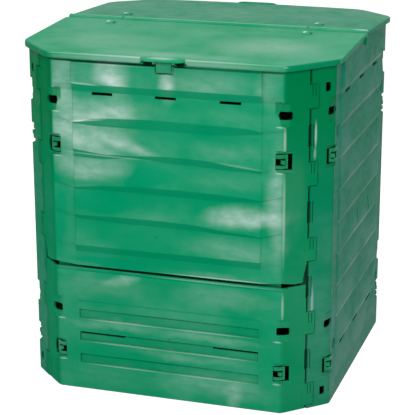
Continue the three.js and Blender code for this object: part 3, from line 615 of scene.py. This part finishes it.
def flap_mesh():
    """One patch as the crowned top, its outline as the edge and rim, and the patch again as the underside."""
    one = spread(0, 300, 12) + [8, 16, 46, 50.5, 52, 53.5, 58, 258, 266, 274, 282, 291, 300, 332, 350, 358, 364,
                                369, 373, 376.5, 379, 380.6, 381.6, LID_HALF]
    xs = np.array(sorted({round(s * v, 3) for v in one for s in (1, -1)}))
    vs = np.array(sorted({0, 0.004, 0.012, 0.026, 0.05, 0.09, 0.14, 0.97, 0.985, 0.994, *spread(0.2, 1.0, 0.05)}))
    x, v = np.meshgrid(xs, vs)

    near, far = LID_CORNER - LID_ROUND * EDGE_T, LID_HALF - LID_ROUND  # middles of the two arcs
    turn_at = math.sqrt(0.5)

    def front_edge(x, inset):
        """Front line of the outline drawn in by inset: level, arc, slope, arc."""
        a, r = np.abs(x), LID_ROUND - inset
        first = -far - np.sqrt(np.clip(r * r - (a - near) ** 2, 0, None))
        slope = -(far + near) - r / turn_at + a
        second = -near - np.sqrt(np.clip(r * r - (a - far) ** 2, 0, None))
        y = np.where(a < near, -LID_HALF + inset, first)
        y = np.where(a > near + r * turn_at, slope, y)
        return np.where(a > far + r * turn_at, second, y)

    def patch(inset, z_of):
        """The patch with its outline drawn in by inset."""
        xi = x * (LID_HALF - inset) / LID_HALF
        ridge = -8.0 - inset
        yi = ridge + (front_edge(xi, inset) - ridge) * v
        return np.stack([xi, yi, z_of(xi, yi)], -1).reshape(-1, 3)

    def top(x, y):
        fall = RIDGE_FALL * ramp(y, -26.0, -9.0)
        crown = 1.7 - 3.0 * (x / LID_HALF) ** 2 * (0.55 + 0.45 * (y / LID_HALF) ** 2)
        crown = crown * (0.35 + 0.65 * ramp(y, -9.0, -60.0))
        trough = 2.4 * np.exp(-((y + 371.0) / 6.5) ** 2) \
            * line(np.abs(x), 50.0, 42.0) * (1 - 0.75 * np.exp(-(x / 8.0) ** 2))
        return LID_TOP + crown - fall - trough

    def rim_low(x, y):
        lip = line(np.abs(x), 56.0, 50.0) * line(y, -360.0, -372.0)
        return RIM + LIP_RISE * lip + RIDGE_RISE * line(y, -290.0, -8.0)

    ids = np.arange(x.size).reshape(x.shape)
    loop = np.concatenate([ids[0, :], ids[1:, -1], ids[-1, -2::-1], ids[-2:0:-1, 0]])
    layers = [patch(inset, lambda a, b: top(a, b) + dz)[loop] for inset, dz in EDGE]
    layers += [patch(inset, lambda a, b: rim_low(a, b) + dz)[loop] for inset, dz in FOOT]
    verts = [patch(2.8, top)] + layers + [patch(3.0, lambda a, b: np.full_like(a, LID_UNDER))]
    cells = np.stack([ids[:-1, :-1], ids[1:, :-1], ids[1:, 1:], ids[:-1, 1:]], -1).reshape(-1, 4)
    n, last = len(loop), x.size + len(loop) * len(layers)
    rings = [loop] + [np.arange(first, first + n) for first in range(x.size, last, n)] + [loop + last]
    faces = [cells] + [np.stack([high, np.roll(high, -1), np.roll(low, -1), low], 1)
                       for high, low in zip(rings, rings[1:])] + [cells[:, ::-1] + last]
    return np.concatenate(verts), np.concatenate(faces).tolist()


def lid_matrix(turn):
    """From the flat flap, hinge axis on X, to its place on the bin."""
    return Matrix.Rotation(turn, 4, "Z") @ Matrix.Translation((0, 0, HINGE_Z)) @ Matrix.Rotation(TILT, 4, "X")


def placed(verts, matrix):
    """Points in millimetres, moved by matrix and brought to metres."""
    return [tuple((matrix @ Vector(v)) * MM) for v in verts]


def tube(rings):
    """A closed tube through rings of points."""
    m, n = len(rings[0]), len(rings)
    faces = [[j * m + i, j * m + (i + 1) % m, (j + 1) * m + (i + 1) % m, (j + 1) * m + i]
             for j in range(n - 1) for i in range(m)]
    faces += [list(range(m)), list(reversed(range((n - 1) * m, n * m)))]
    return [p for ring in rings for p in ring], faces


def grip(turn):
    """The finger lip: a rounded bar proud of the rim, drawn along X with tapered ends."""
    section = [(-378, 3.6), (-382, 6.4), (-387, 7.4), (-391.5, 6.6), (-394.6, 4.8), (-396.4, 2.4),
               (-397.0, 0.2), (-396.4, -1.4), (-394, -2.2), (-389, -1.8), (-383, -1.4), (-378, -1.6)]
    rings = []
    for x in (-52, -51.2, -49, -44, -36, -24, -12, 0, 12, 24, 36, 44, 49, 51.2, 52):
        pull = max(0.0, (abs(x) - 36) / 16) ** 2
        rings.append([(x, -378 + (y + 378) * (1 - 0.55 * pull), (z - 0.6) * (1 - 0.3 * pull) + 0.6)
                      for y, z in section])
    verts, faces = tube(rings)
    return placed(verts, lid_matrix(turn)), faces


def lid_bars(bars, turn):
    """Boxes given on the flat flap, at their place on the bin."""
    verts, faces = joined(block(*bar) for bar in bars)
    return placed(verts, lid_matrix(turn)), faces


RIBS = [((x - 1.5, -350, -8.5), (x + 1.5, -9.5, 0.6)) for x in (-150, 0, 150)]
RIBS += [((-350, -191.5, -8.5), (350, -188.5, 0.6))]
RIBS += [((x - 2.5, -381.5, -9.5), (x + 2.5, -373, 0.6)) for x in (23.0, -23.0)]

for name, body, turn in (("front", "front_flap", 0.0), ("rear", "rear_flap", math.pi)):
    v, f = flap_mesh()
    flap = new_object(f"{name}_flap", placed(v, lid_matrix(turn)), f, 40)
    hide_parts(f"lid_{name}")
    lip = new_object(f"{name}_grip", *grip(turn), 40)
    under = bevel(new_object(f"{name}_ribs", *lid_bars(RIBS, turn)), 0.5)
    for piece in (flap, lip, under):
        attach(piece, body)
        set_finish(piece, "lid_plastic")

# Catches: a thin ribbed plate that hangs in the channel of the wall
CATCH = [((-18.0, -379.6, -29.6), (18.0, -376.6, -4.0)), ((-18.0, -380.4, -29.6), (18.0, -376.0, -27.2))]
CATCH += [((x - 1.1, -380.7, -22.8), (x + 1.1, -378.0, -6.0)) for x in (-14.5, -5.0, 5.0, 14.5)]

for name, turn in (("front", 0.0), ("rear", math.pi)):
    catch = bevel(new_object(f"{name}_catch_plate", *lid_bars(CATCH, turn)), 0.6, 2)
    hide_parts(f"lid_latch_{name}")
    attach(catch, f"{name}_catch")
    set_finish(catch, "trim_plastic")


# Ridge bar with necks, notches and end hooks
def lathe(profile, sides, matrix):
    """A turned piece along X from (place, radius) pairs."""
    turns = [2 * math.pi * i / sides for i in range(sides)]
    verts, faces = tube([[(x, r * math.cos(t), r * math.sin(t)) for t in turns] for x, r in profile])
    return placed(verts, matrix), faces


def dome(base, high, radius, steps):
    """The profile of a dome on base, as (place, radius) pairs up to its nearly closed top."""
    turns = [math.pi / 2 * i / steps for i in range(steps)]
    return [(base + high * math.sin(t), radius * math.cos(t)) for t in turns] + [(base + high, 0.05)]


half_bar = [(0, 7), (207.0, 7), (207.7, 6.4), (207.9, 4), (264.1, 4), (264.3, 6.4), (265.0, 7),
            (339.6, 7), (339.9, 6.0), (342.1, 6.0), (342.4, 7), (377.6, 7), (379.4, 6.0), (380.3, 4.2)]
bar_profile = [(-x, r) for x, r in reversed(half_bar[1:])] + half_bar
bar = new_object("ridge_bar", *lathe(bar_profile, 40, Matrix.Translation((0, 0, HINGE_Z))), 40)
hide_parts("hinge_bar")
verts, faces = joined(block((x - 2.4, -5, 806), (x + 2.4, 5, 834)) for x in (377.8, -377.8))
hooks = bevel(new_object("bar_hooks", turned(verts), faces), 1.2, 3)
for piece in (bar, hooks):
    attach(piece, "bin")
    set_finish(piece, "lid_plastic")


# Caps of the hinge studs
for name, body, turn in (("front", "front_flap", 0.0), ("rear", "rear_flap", math.pi)):
    for tag, x in (("a", -247.0), ("b", 247.0)):
        profile = [(-8.8, 5), (3.4, 5), (3.5, 12.6), (3.9, 13.0)] + dome(4.6, 4.2, 12.9, 9)
        up = lid_matrix(turn) @ Matrix.Translation((x, -60, 0)) @ Matrix.Rotation(-math.pi / 2, 4, "Y")
        cap = new_object(f"{name}_cap_{tag}", *lathe(profile, 40, up), 40)
        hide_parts(f"hinge_stud_{name}_{tag}")
        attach(cap, body)
        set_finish(cap, "trim_plastic")


# Small gate marks of the moulding
def mark(name, x, y, z, radius, body):
    out = Matrix.Translation((x, y, z)) @ Matrix.Rotation(-math.pi / 2, 4, "Z")
    spot = new_object(name, *lathe([(-1.0, radius)] + dome(0.0, 1.5, radius, 5), 20, out), 40)
    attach(spot, body)
    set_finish(spot, "panel_plastic")


mark("gate_mark_high", 0.0, -HALF - 0.4, 548.0, 5.0, "bin")
mark("gate_mark_mid", -25.0, -HALF - 0.2, 405.0, 4.0, "bin")
mark("gate_mark_low", 4.0, -HALF + 0.6, 155.0, 4.0, "hatch")


# Materials
class Nodes:
    """Short ways to add nodes to a material or the world."""

    def __init__(self, tree):
        self.nodes, self.links = tree.nodes, tree.links

    def add(self, kind, inputs=(), **settings):
        """A new node, its inputs fed from (socket, value) pairs."""
        node = self.nodes.new(kind)
        for key, value in settings.items():
            setattr(node, key, value)
        for key, value in inputs:
            if isinstance(value, (int, float, tuple)):
                node.inputs[key].default_value = value
            else:
                self.links.new(value, node.inputs[key])
        return node

    def noise(self, scale, detail, distort=0.0, stretch=(1, 1, 1), output="Fac"):
        place = self.vector("MULTIPLY", self.place, stretch)
        inputs = [("Vector", place), ("Scale", scale), ("Detail", detail), ("Distortion", distort)]
        return self.add("ShaderNodeTexNoise", inputs).outputs[output]

    def ramped(self, value, low, high, a, b):
        inputs = [("Value", value), ("From Min", low), ("From Max", high), ("To Min", a), ("To Max", b)]
        return self.add("ShaderNodeMapRange", inputs, interpolation_type="SMOOTHSTEP").outputs["Result"]

    def math(self, kind, *values):
        return self.add("ShaderNodeMath", enumerate(values), operation=kind).outputs[0]

    def times(self, a, b):
        return self.math("MULTIPLY", a, b)

    def most(self, a, b):
        return self.math("MAXIMUM", a, b)

    def vector(self, kind, *values):
        node = self.add("ShaderNodeVectorMath", enumerate(values), operation=kind)
        return node.outputs["Value" if kind == "LENGTH" else "Vector"]

    def split(self, vector):
        return self.add("ShaderNodeSeparateXYZ", [(0, vector)]).outputs

    def mix(self, fac, a, b):
        return self.add("ShaderNodeMix", [("Factor", fac), (6, a), (7, b)], data_type="RGBA").outputs[2]

    def patches(self, total, where, marks, core):
        """Adds soft ellipsoids to total: rows of middle, reach, strength and sometimes tilt."""
        for *size, strength, tilt in [m if len(m) == 8 else (*m, 0.0) for m in marks]:
            turn = tilt if isinstance(tilt, tuple) else (0.0, tilt, 0.0)
            inputs = [("Vector", where), ("Location", tuple(size[:3])), ("Rotation", turn), ("Scale", tuple(size[3:]))]
            away = self.vector("LENGTH", self.add("ShaderNodeMapping", inputs, vector_type="TEXTURE").outputs[0])
            total = self.math("ADD", total, self.ramped(away, 1.0, core, 0.0, strength))
        return total


def new_material(name):
    """A material and its nodes; place is the point in the object's own frame."""
    mat = bpy.data.materials.new(name)
    mat.use_nodes = True
    w = Nodes(mat.node_tree)
    w.place = w.add("ShaderNodeTexCoord").outputs["Object"]
    return mat, w


def plastic(name, deep, dull, pale, haze, rough, spec, marks=(), painted_light=(), dim=(), corner=None,
            edge=(0.640, 0.647), under=0.1, lap=None, rear=None, low=1.0, holes=()):
    """Moulded plastic: deep colour with duller clouds under a pale haze, with painted light and shade on top.
    marks are soft pale haze patches, painted_light sharp pale lines of painted highlight (negative ones painted
    shade), dim dark lines of painted shade (negative ones painted light), corner the darker colour of the cut-off
    corners past edge as painted shade, under the haze on what faces down as painted shade or sheen, lap the boards'
    crest, pitch and foot for painted light along each board, rear the darker colour behind the ridge as painted
    shade, low the haze near the ground, holes the painted shade of dark places given for one corner."""
    mat, w = new_material(name)
    bsdf = w.nodes["Principled BSDF"]
    cloud = w.noise(5.0, 3.0, 0.2, (1, 1, 1.5))
    streak = w.noise(30.0, 5.0, 0.2, (1, 1, 2.0))
    grain = w.noise(420.0, 2.0)
    wander = w.vector("SUBTRACT", w.noise(9.0, 4.0, 0.2, (1, 1, 1.4), "Color"), (0.5, 0.5, 0.5))
    wandered = w.vector("ADD", w.place, w.vector("MULTIPLY", wander, (0.06, 0.06, 0.05)))
    folded = w.vector("ABSOLUTE", w.place)
    here, there, facing = w.split(folded), w.split(wandered), w.split(w.nodes["Texture Coordinate"].outputs["Normal"])
    height = w.split(w.place)["Z"]

    total = w.times(w.ramped(cloud, 0.38, 0.70, 0.15, 1.0), haze)
    total = w.times(total, w.ramped(there["Z"], 0.15, 0.80, low, 1.0))
    total = w.patches(total, wandered, marks, 0.1)
    total = w.times(total, w.ramped(streak, 0.30, 0.66, 0.70, 1.15))
    on_board = w.ramped(w.math("MINIMUM", here["X"], here["Y"]), 0.229, 0.223, 0.0, 1.0)
    # haze scaled by which way the surface faces: painted shade on downward undercuts when under is below 1, painted
    # sheen on them when under is above 1
    below = w.times(w.ramped(facing["Z"], -0.2, -0.02, under - 1.0, 0.0), on_board)
    total = w.times(total, w.math("ADD", below, 1.0))
    # painted light: haze set by the place on each board's pitch and raised near the foot, for the light and shade
    # across the lapped boards
    if lap:
        crest, pitch, foot = lap
        phase = w.math("FRACT", w.math("DIVIDE", w.math("SUBTRACT", crest, height), pitch))
        swell = w.ramped(phase, 0.22, 1.0, 0.55, 1.40)
        swell = w.most(swell, w.ramped(phase, 0.25, 0.17, 0.0, 1.3))
        swell = w.most(swell, w.ramped(height, foot + 0.01, foot, 0.0, 1.0))
        swell = w.times(w.math("SUBTRACT", swell, 1.0), on_board)
        total = w.times(total, w.math("ADD", swell, 1.0))

    base = w.mix(w.ramped(cloud, 0.35, 0.68, 0.0, 1.0), deep, dull)
    # painted shade: the rear flap, behind the ridge, takes the darker rear colour
    if rear:
        base = w.mix(w.ramped(w.split(w.place)["Y"], -0.004, 0.004, 0.0, 1.0), base, rear)
    if corner:
        # painted shade: past edge the cut-off corners, flanges and pockets take the darker corner colour and lose haze
        across = w.math("ADD", here["X"], here["Y"])
        most, least = w.most(here["X"], here["Y"]), w.math("MINIMUM", here["X"], here["Y"])
        pocket = w.times(w.ramped(most, 0.3672, 0.3660, 0.0, 0.8), w.ramped(least, 0.252, 0.256, 0.0, 1.0))
        at_corner = w.ramped(across, edge[0], edge[1], 0.0, 1.0)
        if lap:
            at_corner = w.most(at_corner, pocket)
        base = w.mix(w.times(at_corner, w.ramped(there["Z"], 0.45, 0.75, 0.4, 1.0)), base, corner)
        corner_shade = w.times(at_corner, w.ramped(there["Z"], 0.3, 0.72, 0.45, 1.0))
        total = w.times(total, w.math("SUBTRACT", 1.0, corner_shade))
    # painted highlights: sharp pale lines on edges and lips where light catches; negative strengths take haze away as
    # painted shade
    total = w.patches(total, w.place, painted_light, 0.3)
    total = w.math("MINIMUM", total, 0.8)
    # painted shade: dim and holes darken the colour in gaps, grooves and hole insides; negative strengths lift it as
    # painted light
    dark = w.patches(w.patches(0.0, w.place, dim, 0.4), folded, holes, 0.75)
    shade = w.math("SUBTRACT", 1.0, w.math("MINIMUM", dark, 0.93))
    color = w.vector("SCALE", w.mix(total, base, pale))
    w.links.new(shade, color.node.inputs["Scale"])
    w.links.new(color, bsdf.inputs["Base Color"])
    w.links.new(w.ramped(streak, 0.3, 0.75, rough - 0.06, rough + 0.1), bsdf.inputs["Roughness"])
    bsdf.inputs["Specular IOR Level"].default_value = spec

    soft = w.add("ShaderNodeBump", [("Strength", 0.25), ("Distance", 0.01),
                                    ("Height", w.noise(5.0, 2.0, 0.3, (1, 1, 1.3)))])
    fine = w.add("ShaderNodeBump", [("Strength", 0.2), ("Distance", 0.0004), ("Height", grain),
                                    ("Normal", soft.outputs["Normal"])])
    w.links.new(fine.outputs["Normal"], bsdf.inputs["Normal"])
    return mat


def on_front(x, z, across, high, strength, tilt=0.0):
    """A soft pale haze patch on the front face, in metres."""
    return (x, -0.37, z, across, 0.2, high, strength, tilt)


PANEL_MARKS = [on_front(*row) for row in (
    # head board
    (-0.25, 0.745, 0.045, 0.11, 0.2), (-0.127, 0.785, 0.055, 0.075, 0.4), (0.006, 0.765, 0.032, 0.06, 0.28),
    (0.1, 0.775, 0.15, 0.06, 0.09), (0.249, 0.775, 0.04, 0.06, 0.1), (-0.2, 0.78, 0.06, 0.06, 0.05),
    # boards from the top down
    (-0.17, 0.697, 0.15, 0.045, 0.16), (-0.112, 0.7, 0.05, 0.055, 0.16), (0.174, 0.695, 0.13, 0.03, 0.03),
    (-0.19, 0.64, 0.16, 0.06, 0.36), (-0.085, 0.612, 0.09, 0.025, 0.18, 0.3), (0.156, 0.622, 0.15, 0.03, 0.04),
    (-0.18, 0.566, 0.13, 0.05, 0.28), (0.16, 0.552, 0.15, 0.03, 0.04), (0.19, 0.47, 0.14, 0.034, 0.36, -0.12),
    (0.264, 0.5, 0.035, 0.19, 0.2), (-0.04, 0.45, 0.1, 0.02, 0.02), (0.153, 0.392, 0.15, 0.045, 0.1),
    (0.106, 0.32, 0.14, 0.012, 0.06), (-0.038, 0.545, 0.1, 0.032, -0.035), (-0.174, 0.478, 0.11, 0.035, -0.035),
    (-0.15, 0.33, 0.13, 0.016, -0.045), (-0.259, 0.42, 0.024, 0.12, -0.045), (0.174, 0.684, 0.1, 0.022, -0.02),
    (-0.04, 0.705, 0.06, 0.03, 0.03),
    # hatch
    (-0.15, 0.262, 0.16, 0.04, 0.06), (-0.11, 0.285, 0.07, 0.022, 0.12, -0.3), (0.14, 0.266, 0.16, 0.035, 0.08),
    (-0.13, 0.172, 0.15, 0.016, 0.1), (0.106, 0.164, 0.17, 0.014, 0.11), (0.05, 0.112, 0.2, 0.014, 0.09),
    (0.16, 0.028, 0.028, 0.05, 0.14), (0.13, 0.042, 0.2, 0.045, 0.07), (-0.16, 0.035, 0.17, 0.045, 0.03),
)]
# painted highlights: pale lines on the right corner edges, beside the gap over the hatch, on the bead under the rim,
# along ledge crests, on the groove lips and the pocket edges
PANEL_PAINTED_LIGHT = [
    (0.278, -0.3705, 0.652, 0.005, 0.008, 0.05, 0.3), (0.278, -0.3705, 0.48, 0.0045, 0.008, 0.15, 0.22),
    (0.2775, -0.3705, 0.262, 0.0045, 0.008, 0.045, 0.25), (0.125, -0.3705, 0.317, 0.17, 0.008, 0.0026, 0.3),
    (-0.13, -0.3705, 0.8005, 0.13, 0.008, 0.0022, 0.2), (0.11, -0.3705, 0.305, 0.19, 0.008, 0.0024, 0.22),
    (-0.195, -0.374, 0.753, 0.05, 0.02, 0.003, 0.25, 0.05), (-0.19, -0.372, 0.668, 0.06, 0.02, 0.0032, 0.3, -0.12),
    (-0.16, -0.372, 0.588, 0.12, 0.02, 0.003, 0.2, 0.03), (0.175, -0.372, 0.588, 0.07, 0.02, 0.0035, 0.18, 0.1),
]
PANEL_PAINTED_LIGHT += [(x, -0.371, g * MM - 0.0242, 0.14, 0.012, 0.0024, 0.22) for g in GROOVES for x in (-0.1, 0.1)]
PANEL_PAINTED_LIGHT += [(side * 0.266, -0.3705, z * MM, 0.013, 0.01, 0.0026, 0.3) for side in (-1, 1)
               for z in (LOCKS[0] - 27.8, CLIPS[0] - 25.8, LOCKS[1] - 27.8, CLIPS[1] - 25.8)]
# painted shade on the left flanges, painted light on the right one
PANEL_PAINTED_LIGHT += [(-0.302, -0.346, 0.41, 0.055, 0.055, 0.9, -0.022), (0.3, -0.348, 0.52, 0.034, 0.034, 0.12, 0.02)]
# painted shade on the left flange (less haze), painted highlights as small pale spots on the front right flange
SIDE_PAINTED_LIGHT = [
    (-0.346, -0.302, 0.41, 0.055, 0.055, 0.9, -0.028), (0.334, -0.314, 0.66, 0.0042, 0.0042, 0.04, 0.4),
    (0.333, -0.315, 0.616, 0.0045, 0.0045, 0.018, 0.22), (0.333, -0.315, 0.262, 0.005, 0.005, 0.055, 0.25),
]
# painted shade: the shadow line under the lid's rim, the gaps beside the grip lip, the gap over the hatch and the tops
# of the grooves; the last, negative entry is painted light on the left flange
PANEL_PAINTED_SHADE_AND_LIGHT = [
    (-0.13, -0.372, 0.8052, 0.26, 0.02, 0.004, 0.8), (0.13, -0.372, 0.8052, 0.26, 0.02, 0.0036, 0.3),
    (-0.0385, -0.371, 0.811, 0.02, 0.01, 0.009, 1.0), (0.0385, -0.371, 0.811, 0.02, 0.01, 0.009, 1.0),
    (0.0, -0.362, 0.3115, 0.4, 0.0085, 0.01, 1.2),
]
PANEL_PAINTED_SHADE_AND_LIGHT += [(0.0, -0.366, g * MM - 0.0015, 0.235, 0.012, 0.004, 0.55) for g in GROOVES]
PANEL_PAINTED_SHADE_AND_LIGHT += [(-0.302, -0.346, 0.41, 0.038, 0.038, 0.9, -0.22)]
# painted light: a negative dim that lifts the colour of the left flange
SIDE_FLANGE_PAINTED_LIGHT = [(-0.346, -0.302, 0.41, 0.038, 0.038, 0.9, -0.2)]
LID_MARKS = [
    (0.19, -0.225, 0.83, 0.19, 0.12, 0.2, 0.16), (-0.18, -0.245, 0.83, 0.2, 0.11, 0.2, 0.1),
    (0.02, -0.35, 0.83, 0.26, 0.04, 0.2, 0.1), (0.0, 0.2, 0.83, 0.42, 0.18, 0.2, 0.03),
]
# painted highlights: the lid's front edge and rim, the top of the ridge bar and its right end, the grip lip and the
# front-right corner; the two negative entries are painted shade on the side rims
LID_PAINTED_LIGHT = [
    (-0.02, -0.3803, 0.823, 0.37, 0.0035, 0.0032, 0.3), (-0.02, -0.382, 0.816, 0.37, 0.003, 0.0085, 0.14),
    (0.0, 0.0, 0.842, 0.6, 0.0048, 0.003, 0.22), (0.372, 0.0, 0.841, 0.04, 0.006, 0.006, 0.45),
    (0.0, -0.391, 0.8265, 0.045, 0.007, 0.004, 0.25), (0.284, -0.38, 0.82, 0.012, 0.006, 0.004, 0.22),
    (0.3845, 0.0, 0.815, 0.006, 0.5, 0.04, -0.3), (-0.3845, 0.0, 0.815, 0.006, 0.5, 0.04, -0.3),
]
# painted shade in the dark gaps beside the grip lip
LID_PAINTED_SHADE = [(x, -0.37, 0.823, 0.026, 0.0065, 0.01, 0.28) for x in (-0.03, 0.03)]
CAPS = [(side * 0.247, row * 0.06) for side in (-1, 1) for row in (-1, 1)]
# painted highlight on the upper left of each cap, painted shade to its right
CAP_HIGHLIGHTS = [(x - 0.005, y - 0.003, 0.8405, 0.0065, 0.008, 0.0045, 0.65) for x, y in CAPS]
CAP_PAINTED_SHADE = [(x + 0.011, y, 0.8385, 0.008, 0.012, 0.006, 0.55) for x, y in CAPS]
# painted shade on the strips behind the seams
SEAM_PAINTED_SHADE = [(x, y, 0.4, 0.03, 0.03, 1.2, 0.8) for x in (-0.3155, 0.3155) for y in (-0.3155, 0.3155)]
# darker colour of the cut-off corners, flanges and pockets: painted shade
CORNER = (0.0, 0.195, 0.062, 1)
LAP = (CREST * MM, PITCH * MM)


def painted_hole_shade(side):
    """Painted shade for the dark insides of the corner holes, for the front and back or for the side walls."""
    marks = []
    for z, shift, deep, across, high in [(h - 2, 3.2, 9.6, 19.5, 12.0) for h in LOCKS] \
            + [(h, 0.0, 12.8, 25.0, 22.5) for h in CLIPS]:
        x = FACE - deep * EDGE_S + shift * EDGE_C
        y = HALF - deep * EDGE_C - shift * EDGE_S
        x, y, turn = (y, x, 112.5) if side else (x, y, -22.5)
        marks.append((x * MM, y * MM, z * MM, across * MM, 0.0036, high * MM, 1.0, (0.0, 0.0, math.radians(turn))))
    return marks


SIDE_HOLE_SHADE = painted_hole_shade(True)
# painted shade in the square holes and the dimples
SIDE_HOLE_SHADE += [(0.3532, 0.2894, z * MM, 0.0105, 0.0036, 0.014, 1.0, (0.0, 0.0, math.radians(135))) for z in SQUARES]
SIDE_HOLE_SHADE += [(0.369, 0.241, z * MM, 0.012, 0.015, 0.015, 0.3) for z in DIMPLES]
by_slot = {
    "panel_plastic": plastic(
        "panel_green", (0.0, 0.272, 0.120, 1), (0.005, 0.288, 0.136, 1), (0.82, 0.90, 0.90, 1), 0.032, 0.45, 0.005,
        PANEL_MARKS, PANEL_PAINTED_LIGHT, PANEL_PAINTED_SHADE_AND_LIGHT, CORNER, lap=LAP + (0.330,), holes=painted_hole_shade(False)),
    # a darker, bluer copy of the panel plastic for the side walls: painted shade, with more haze on their undercuts
    # (under=4.0) as painted sheen
    "side_plastic": plastic(
        "side_green_shaded", (0.0, 0.236, 0.127, 1), (0.006, 0.249, 0.148, 1), (0.85, 0.90, 1.0, 1), 0.038, 0.45, 0.02,
        (), SIDE_PAINTED_LIGHT, SIDE_FLANGE_PAINTED_LIGHT, CORNER, under=4.0, lap=LAP + (0.0,), low=2.0, holes=SIDE_HOLE_SHADE),
    # the lid's cut-off corners and its rear flap take darker copies of its colour: painted shade
    "lid_plastic": plastic(
        "lid_green", (0.0, 0.272, 0.112, 1), (0.006, 0.288, 0.132, 1), (0.85, 0.90, 0.90, 1), 0.07, 0.5, 0.06,
        LID_MARKS, LID_PAINTED_LIGHT, LID_PAINTED_SHADE, (0.0, 0.225, 0.095, 1), (0.655, 0.659), 1.0, rear=(0.004, 0.225, 0.112, 1)),
    # trim parts near the corners (clips, strips behind the seams) take the darker corner colour: painted shade
    "trim_plastic": plastic(
        "trim_green", (0.0, 0.25, 0.105, 1), (0.004, 0.26, 0.12, 1), (0.85, 0.9, 0.9, 1), 0.05, 0.4, 0.15,
        (), CAP_HIGHLIGHTS, CAP_PAINTED_SHADE + SEAM_PAINTED_SHADE, CORNER, (0.60, 0.61), 1.0),
}
slot_of = {s["node"]: s["material_slot"] for s in frame["record"]["subparts"]}

for name, obj in frame["nodes"].items():
    if obj.hide_render:
        continue
    obj.data.materials.clear()
    obj.data.materials.append(by_slot[slot_of[name]])
    bevel(obj, 0.5, 2, 30)
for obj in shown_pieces():
    if obj.get("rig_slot"):
        obj.data.materials.clear()
        obj.data.materials.append(by_slot[obj["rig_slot"]])


# Stage: floor that shows white to the camera and takes the shadow
def seen(w):
    """1 for the rays that show the background: camera, glossy and transmission rays."""
    path = w.add("ShaderNodeLightPath").outputs
    return w.most(w.most(path["Is Camera Ray"], path["Is Glossy Ray"]), path["Is Transmission Ray"])


FLOOR = (0.5, 0.5, 0.5, 1)
# near-black floor colour inside the walls: painted shade
FLOOR_INSIDE_SHADE = (0.02, 0.018, 0.015, 1)
FLOOR_LIFT = 0.86


def stage_material():
    """A floor that looks white round the bin and keeps its shadow; inside the walls its colour is near black, painted
    shade.
    """
    mat, w = new_material("floor")
    bsdf = w.nodes["Principled BSDF"].inputs
    bsdf["Roughness"].default_value = 0.95
    bsdf["Specular IOR Level"].default_value = 0.0
    bsdf["Emission Color"].default_value = (1, 1, 1, 1)
    here = w.split(w.vector("ABSOLUTE", w.place))
    outside = w.most(w.math("GREATER_THAN", w.most(here["X"], here["Y"]), 0.366),
                     w.math("GREATER_THAN", w.math("ADD", here["X"], here["Y"]), 0.640))
    w.links.new(w.mix(outside, FLOOR_INSIDE_SHADE, FLOOR), bsdf["Base Color"])
    w.links.new(w.times(w.times(seen(w), FLOOR_LIFT), outside), bsdf["Emission Strength"])
    return mat


bpy.ops.mesh.primitive_plane_add(size=60, location=(0, 0, -0.0005))
floor = bpy.context.object
floor.name = "floor"
floor.data.materials.append(stage_material())

# World: white where it is seen, softer as light
world = bpy.data.worlds.new("studio")
bpy.context.scene.world = world
world.use_nodes = True
w = Nodes(world.node_tree)
w.nodes.clear()
dim_side, seen_side = (w.add("ShaderNodeBackground", [("Color", color), ("Strength", strength)]).outputs[0]
                       for color, strength in (((0.95, 0.98, 1.0, 1), 0.3), ((1.0, 1.0, 1.0, 1), 1.0)))
pick = w.add("ShaderNodeMixShader", [("Fac", seen(w)), (1, dim_side), (2, seen_side)])
w.add("ShaderNodeOutputWorld", [("Surface", pick.outputs[0])])


def area(name, location, target, size, power):
    data = bpy.data.lights.new(name, "AREA")
    data.shape = "RECTANGLE"
    data.size, data.size_y = size
    data.energy = power
    obj = bpy.data.objects.new(name, data)
    bpy.context.scene.collection.objects.link(obj)
    obj.location = location
    obj.rotation_mode = "QUATERNION"
    obj.rotation_quaternion = (Vector(target) - Vector(location)).to_track_quat("-Z", "Y")


area("front", (0.94, -3.80, 2.29), (0, -0.3, 0.5), (2.2, 1.6), 118)
area("top", (0.0, -0.4, 3.4), (0, 0, 0.8), (2.6, 2.0), 40)

# Camera, fitted to the photo: its direction, distance and focal length in pixels of the 415 pixel frame
az, el, roll = math.radians(17.6733), math.radians(17.1367), math.radians(-0.0911)
AWAY, FOCAL, FRAME_PX, SENSOR = 3.8449, 1521.9, 415, 36.0
back = Vector((math.sin(az) * math.cos(el), -math.cos(az) * math.cos(el), math.sin(el)))
aim = Vector((-0.01772 * math.cos(az), -0.01772 * math.sin(az), 0.3678))
cam_data = bpy.data.cameras.new("camera")
cam_data.sensor_width = SENSOR
cam_data.lens = FOCAL / FRAME_PX * SENSOR
cam_data.clip_end = 100
cam = bpy.data.objects.new("camera", cam_data)
bpy.context.scene.collection.objects.link(cam)
cam.location = aim + back * AWAY
cam.rotation_mode = "QUATERNION"
cam.rotation_quaternion = (-back).to_track_quat("-Z", "Y") @ Matrix.Rotation(roll, 4, "Z").to_quaternion()
bpy.context.scene.camera = cam
bpy.context.scene.view_settings.view_transform = "Standard"
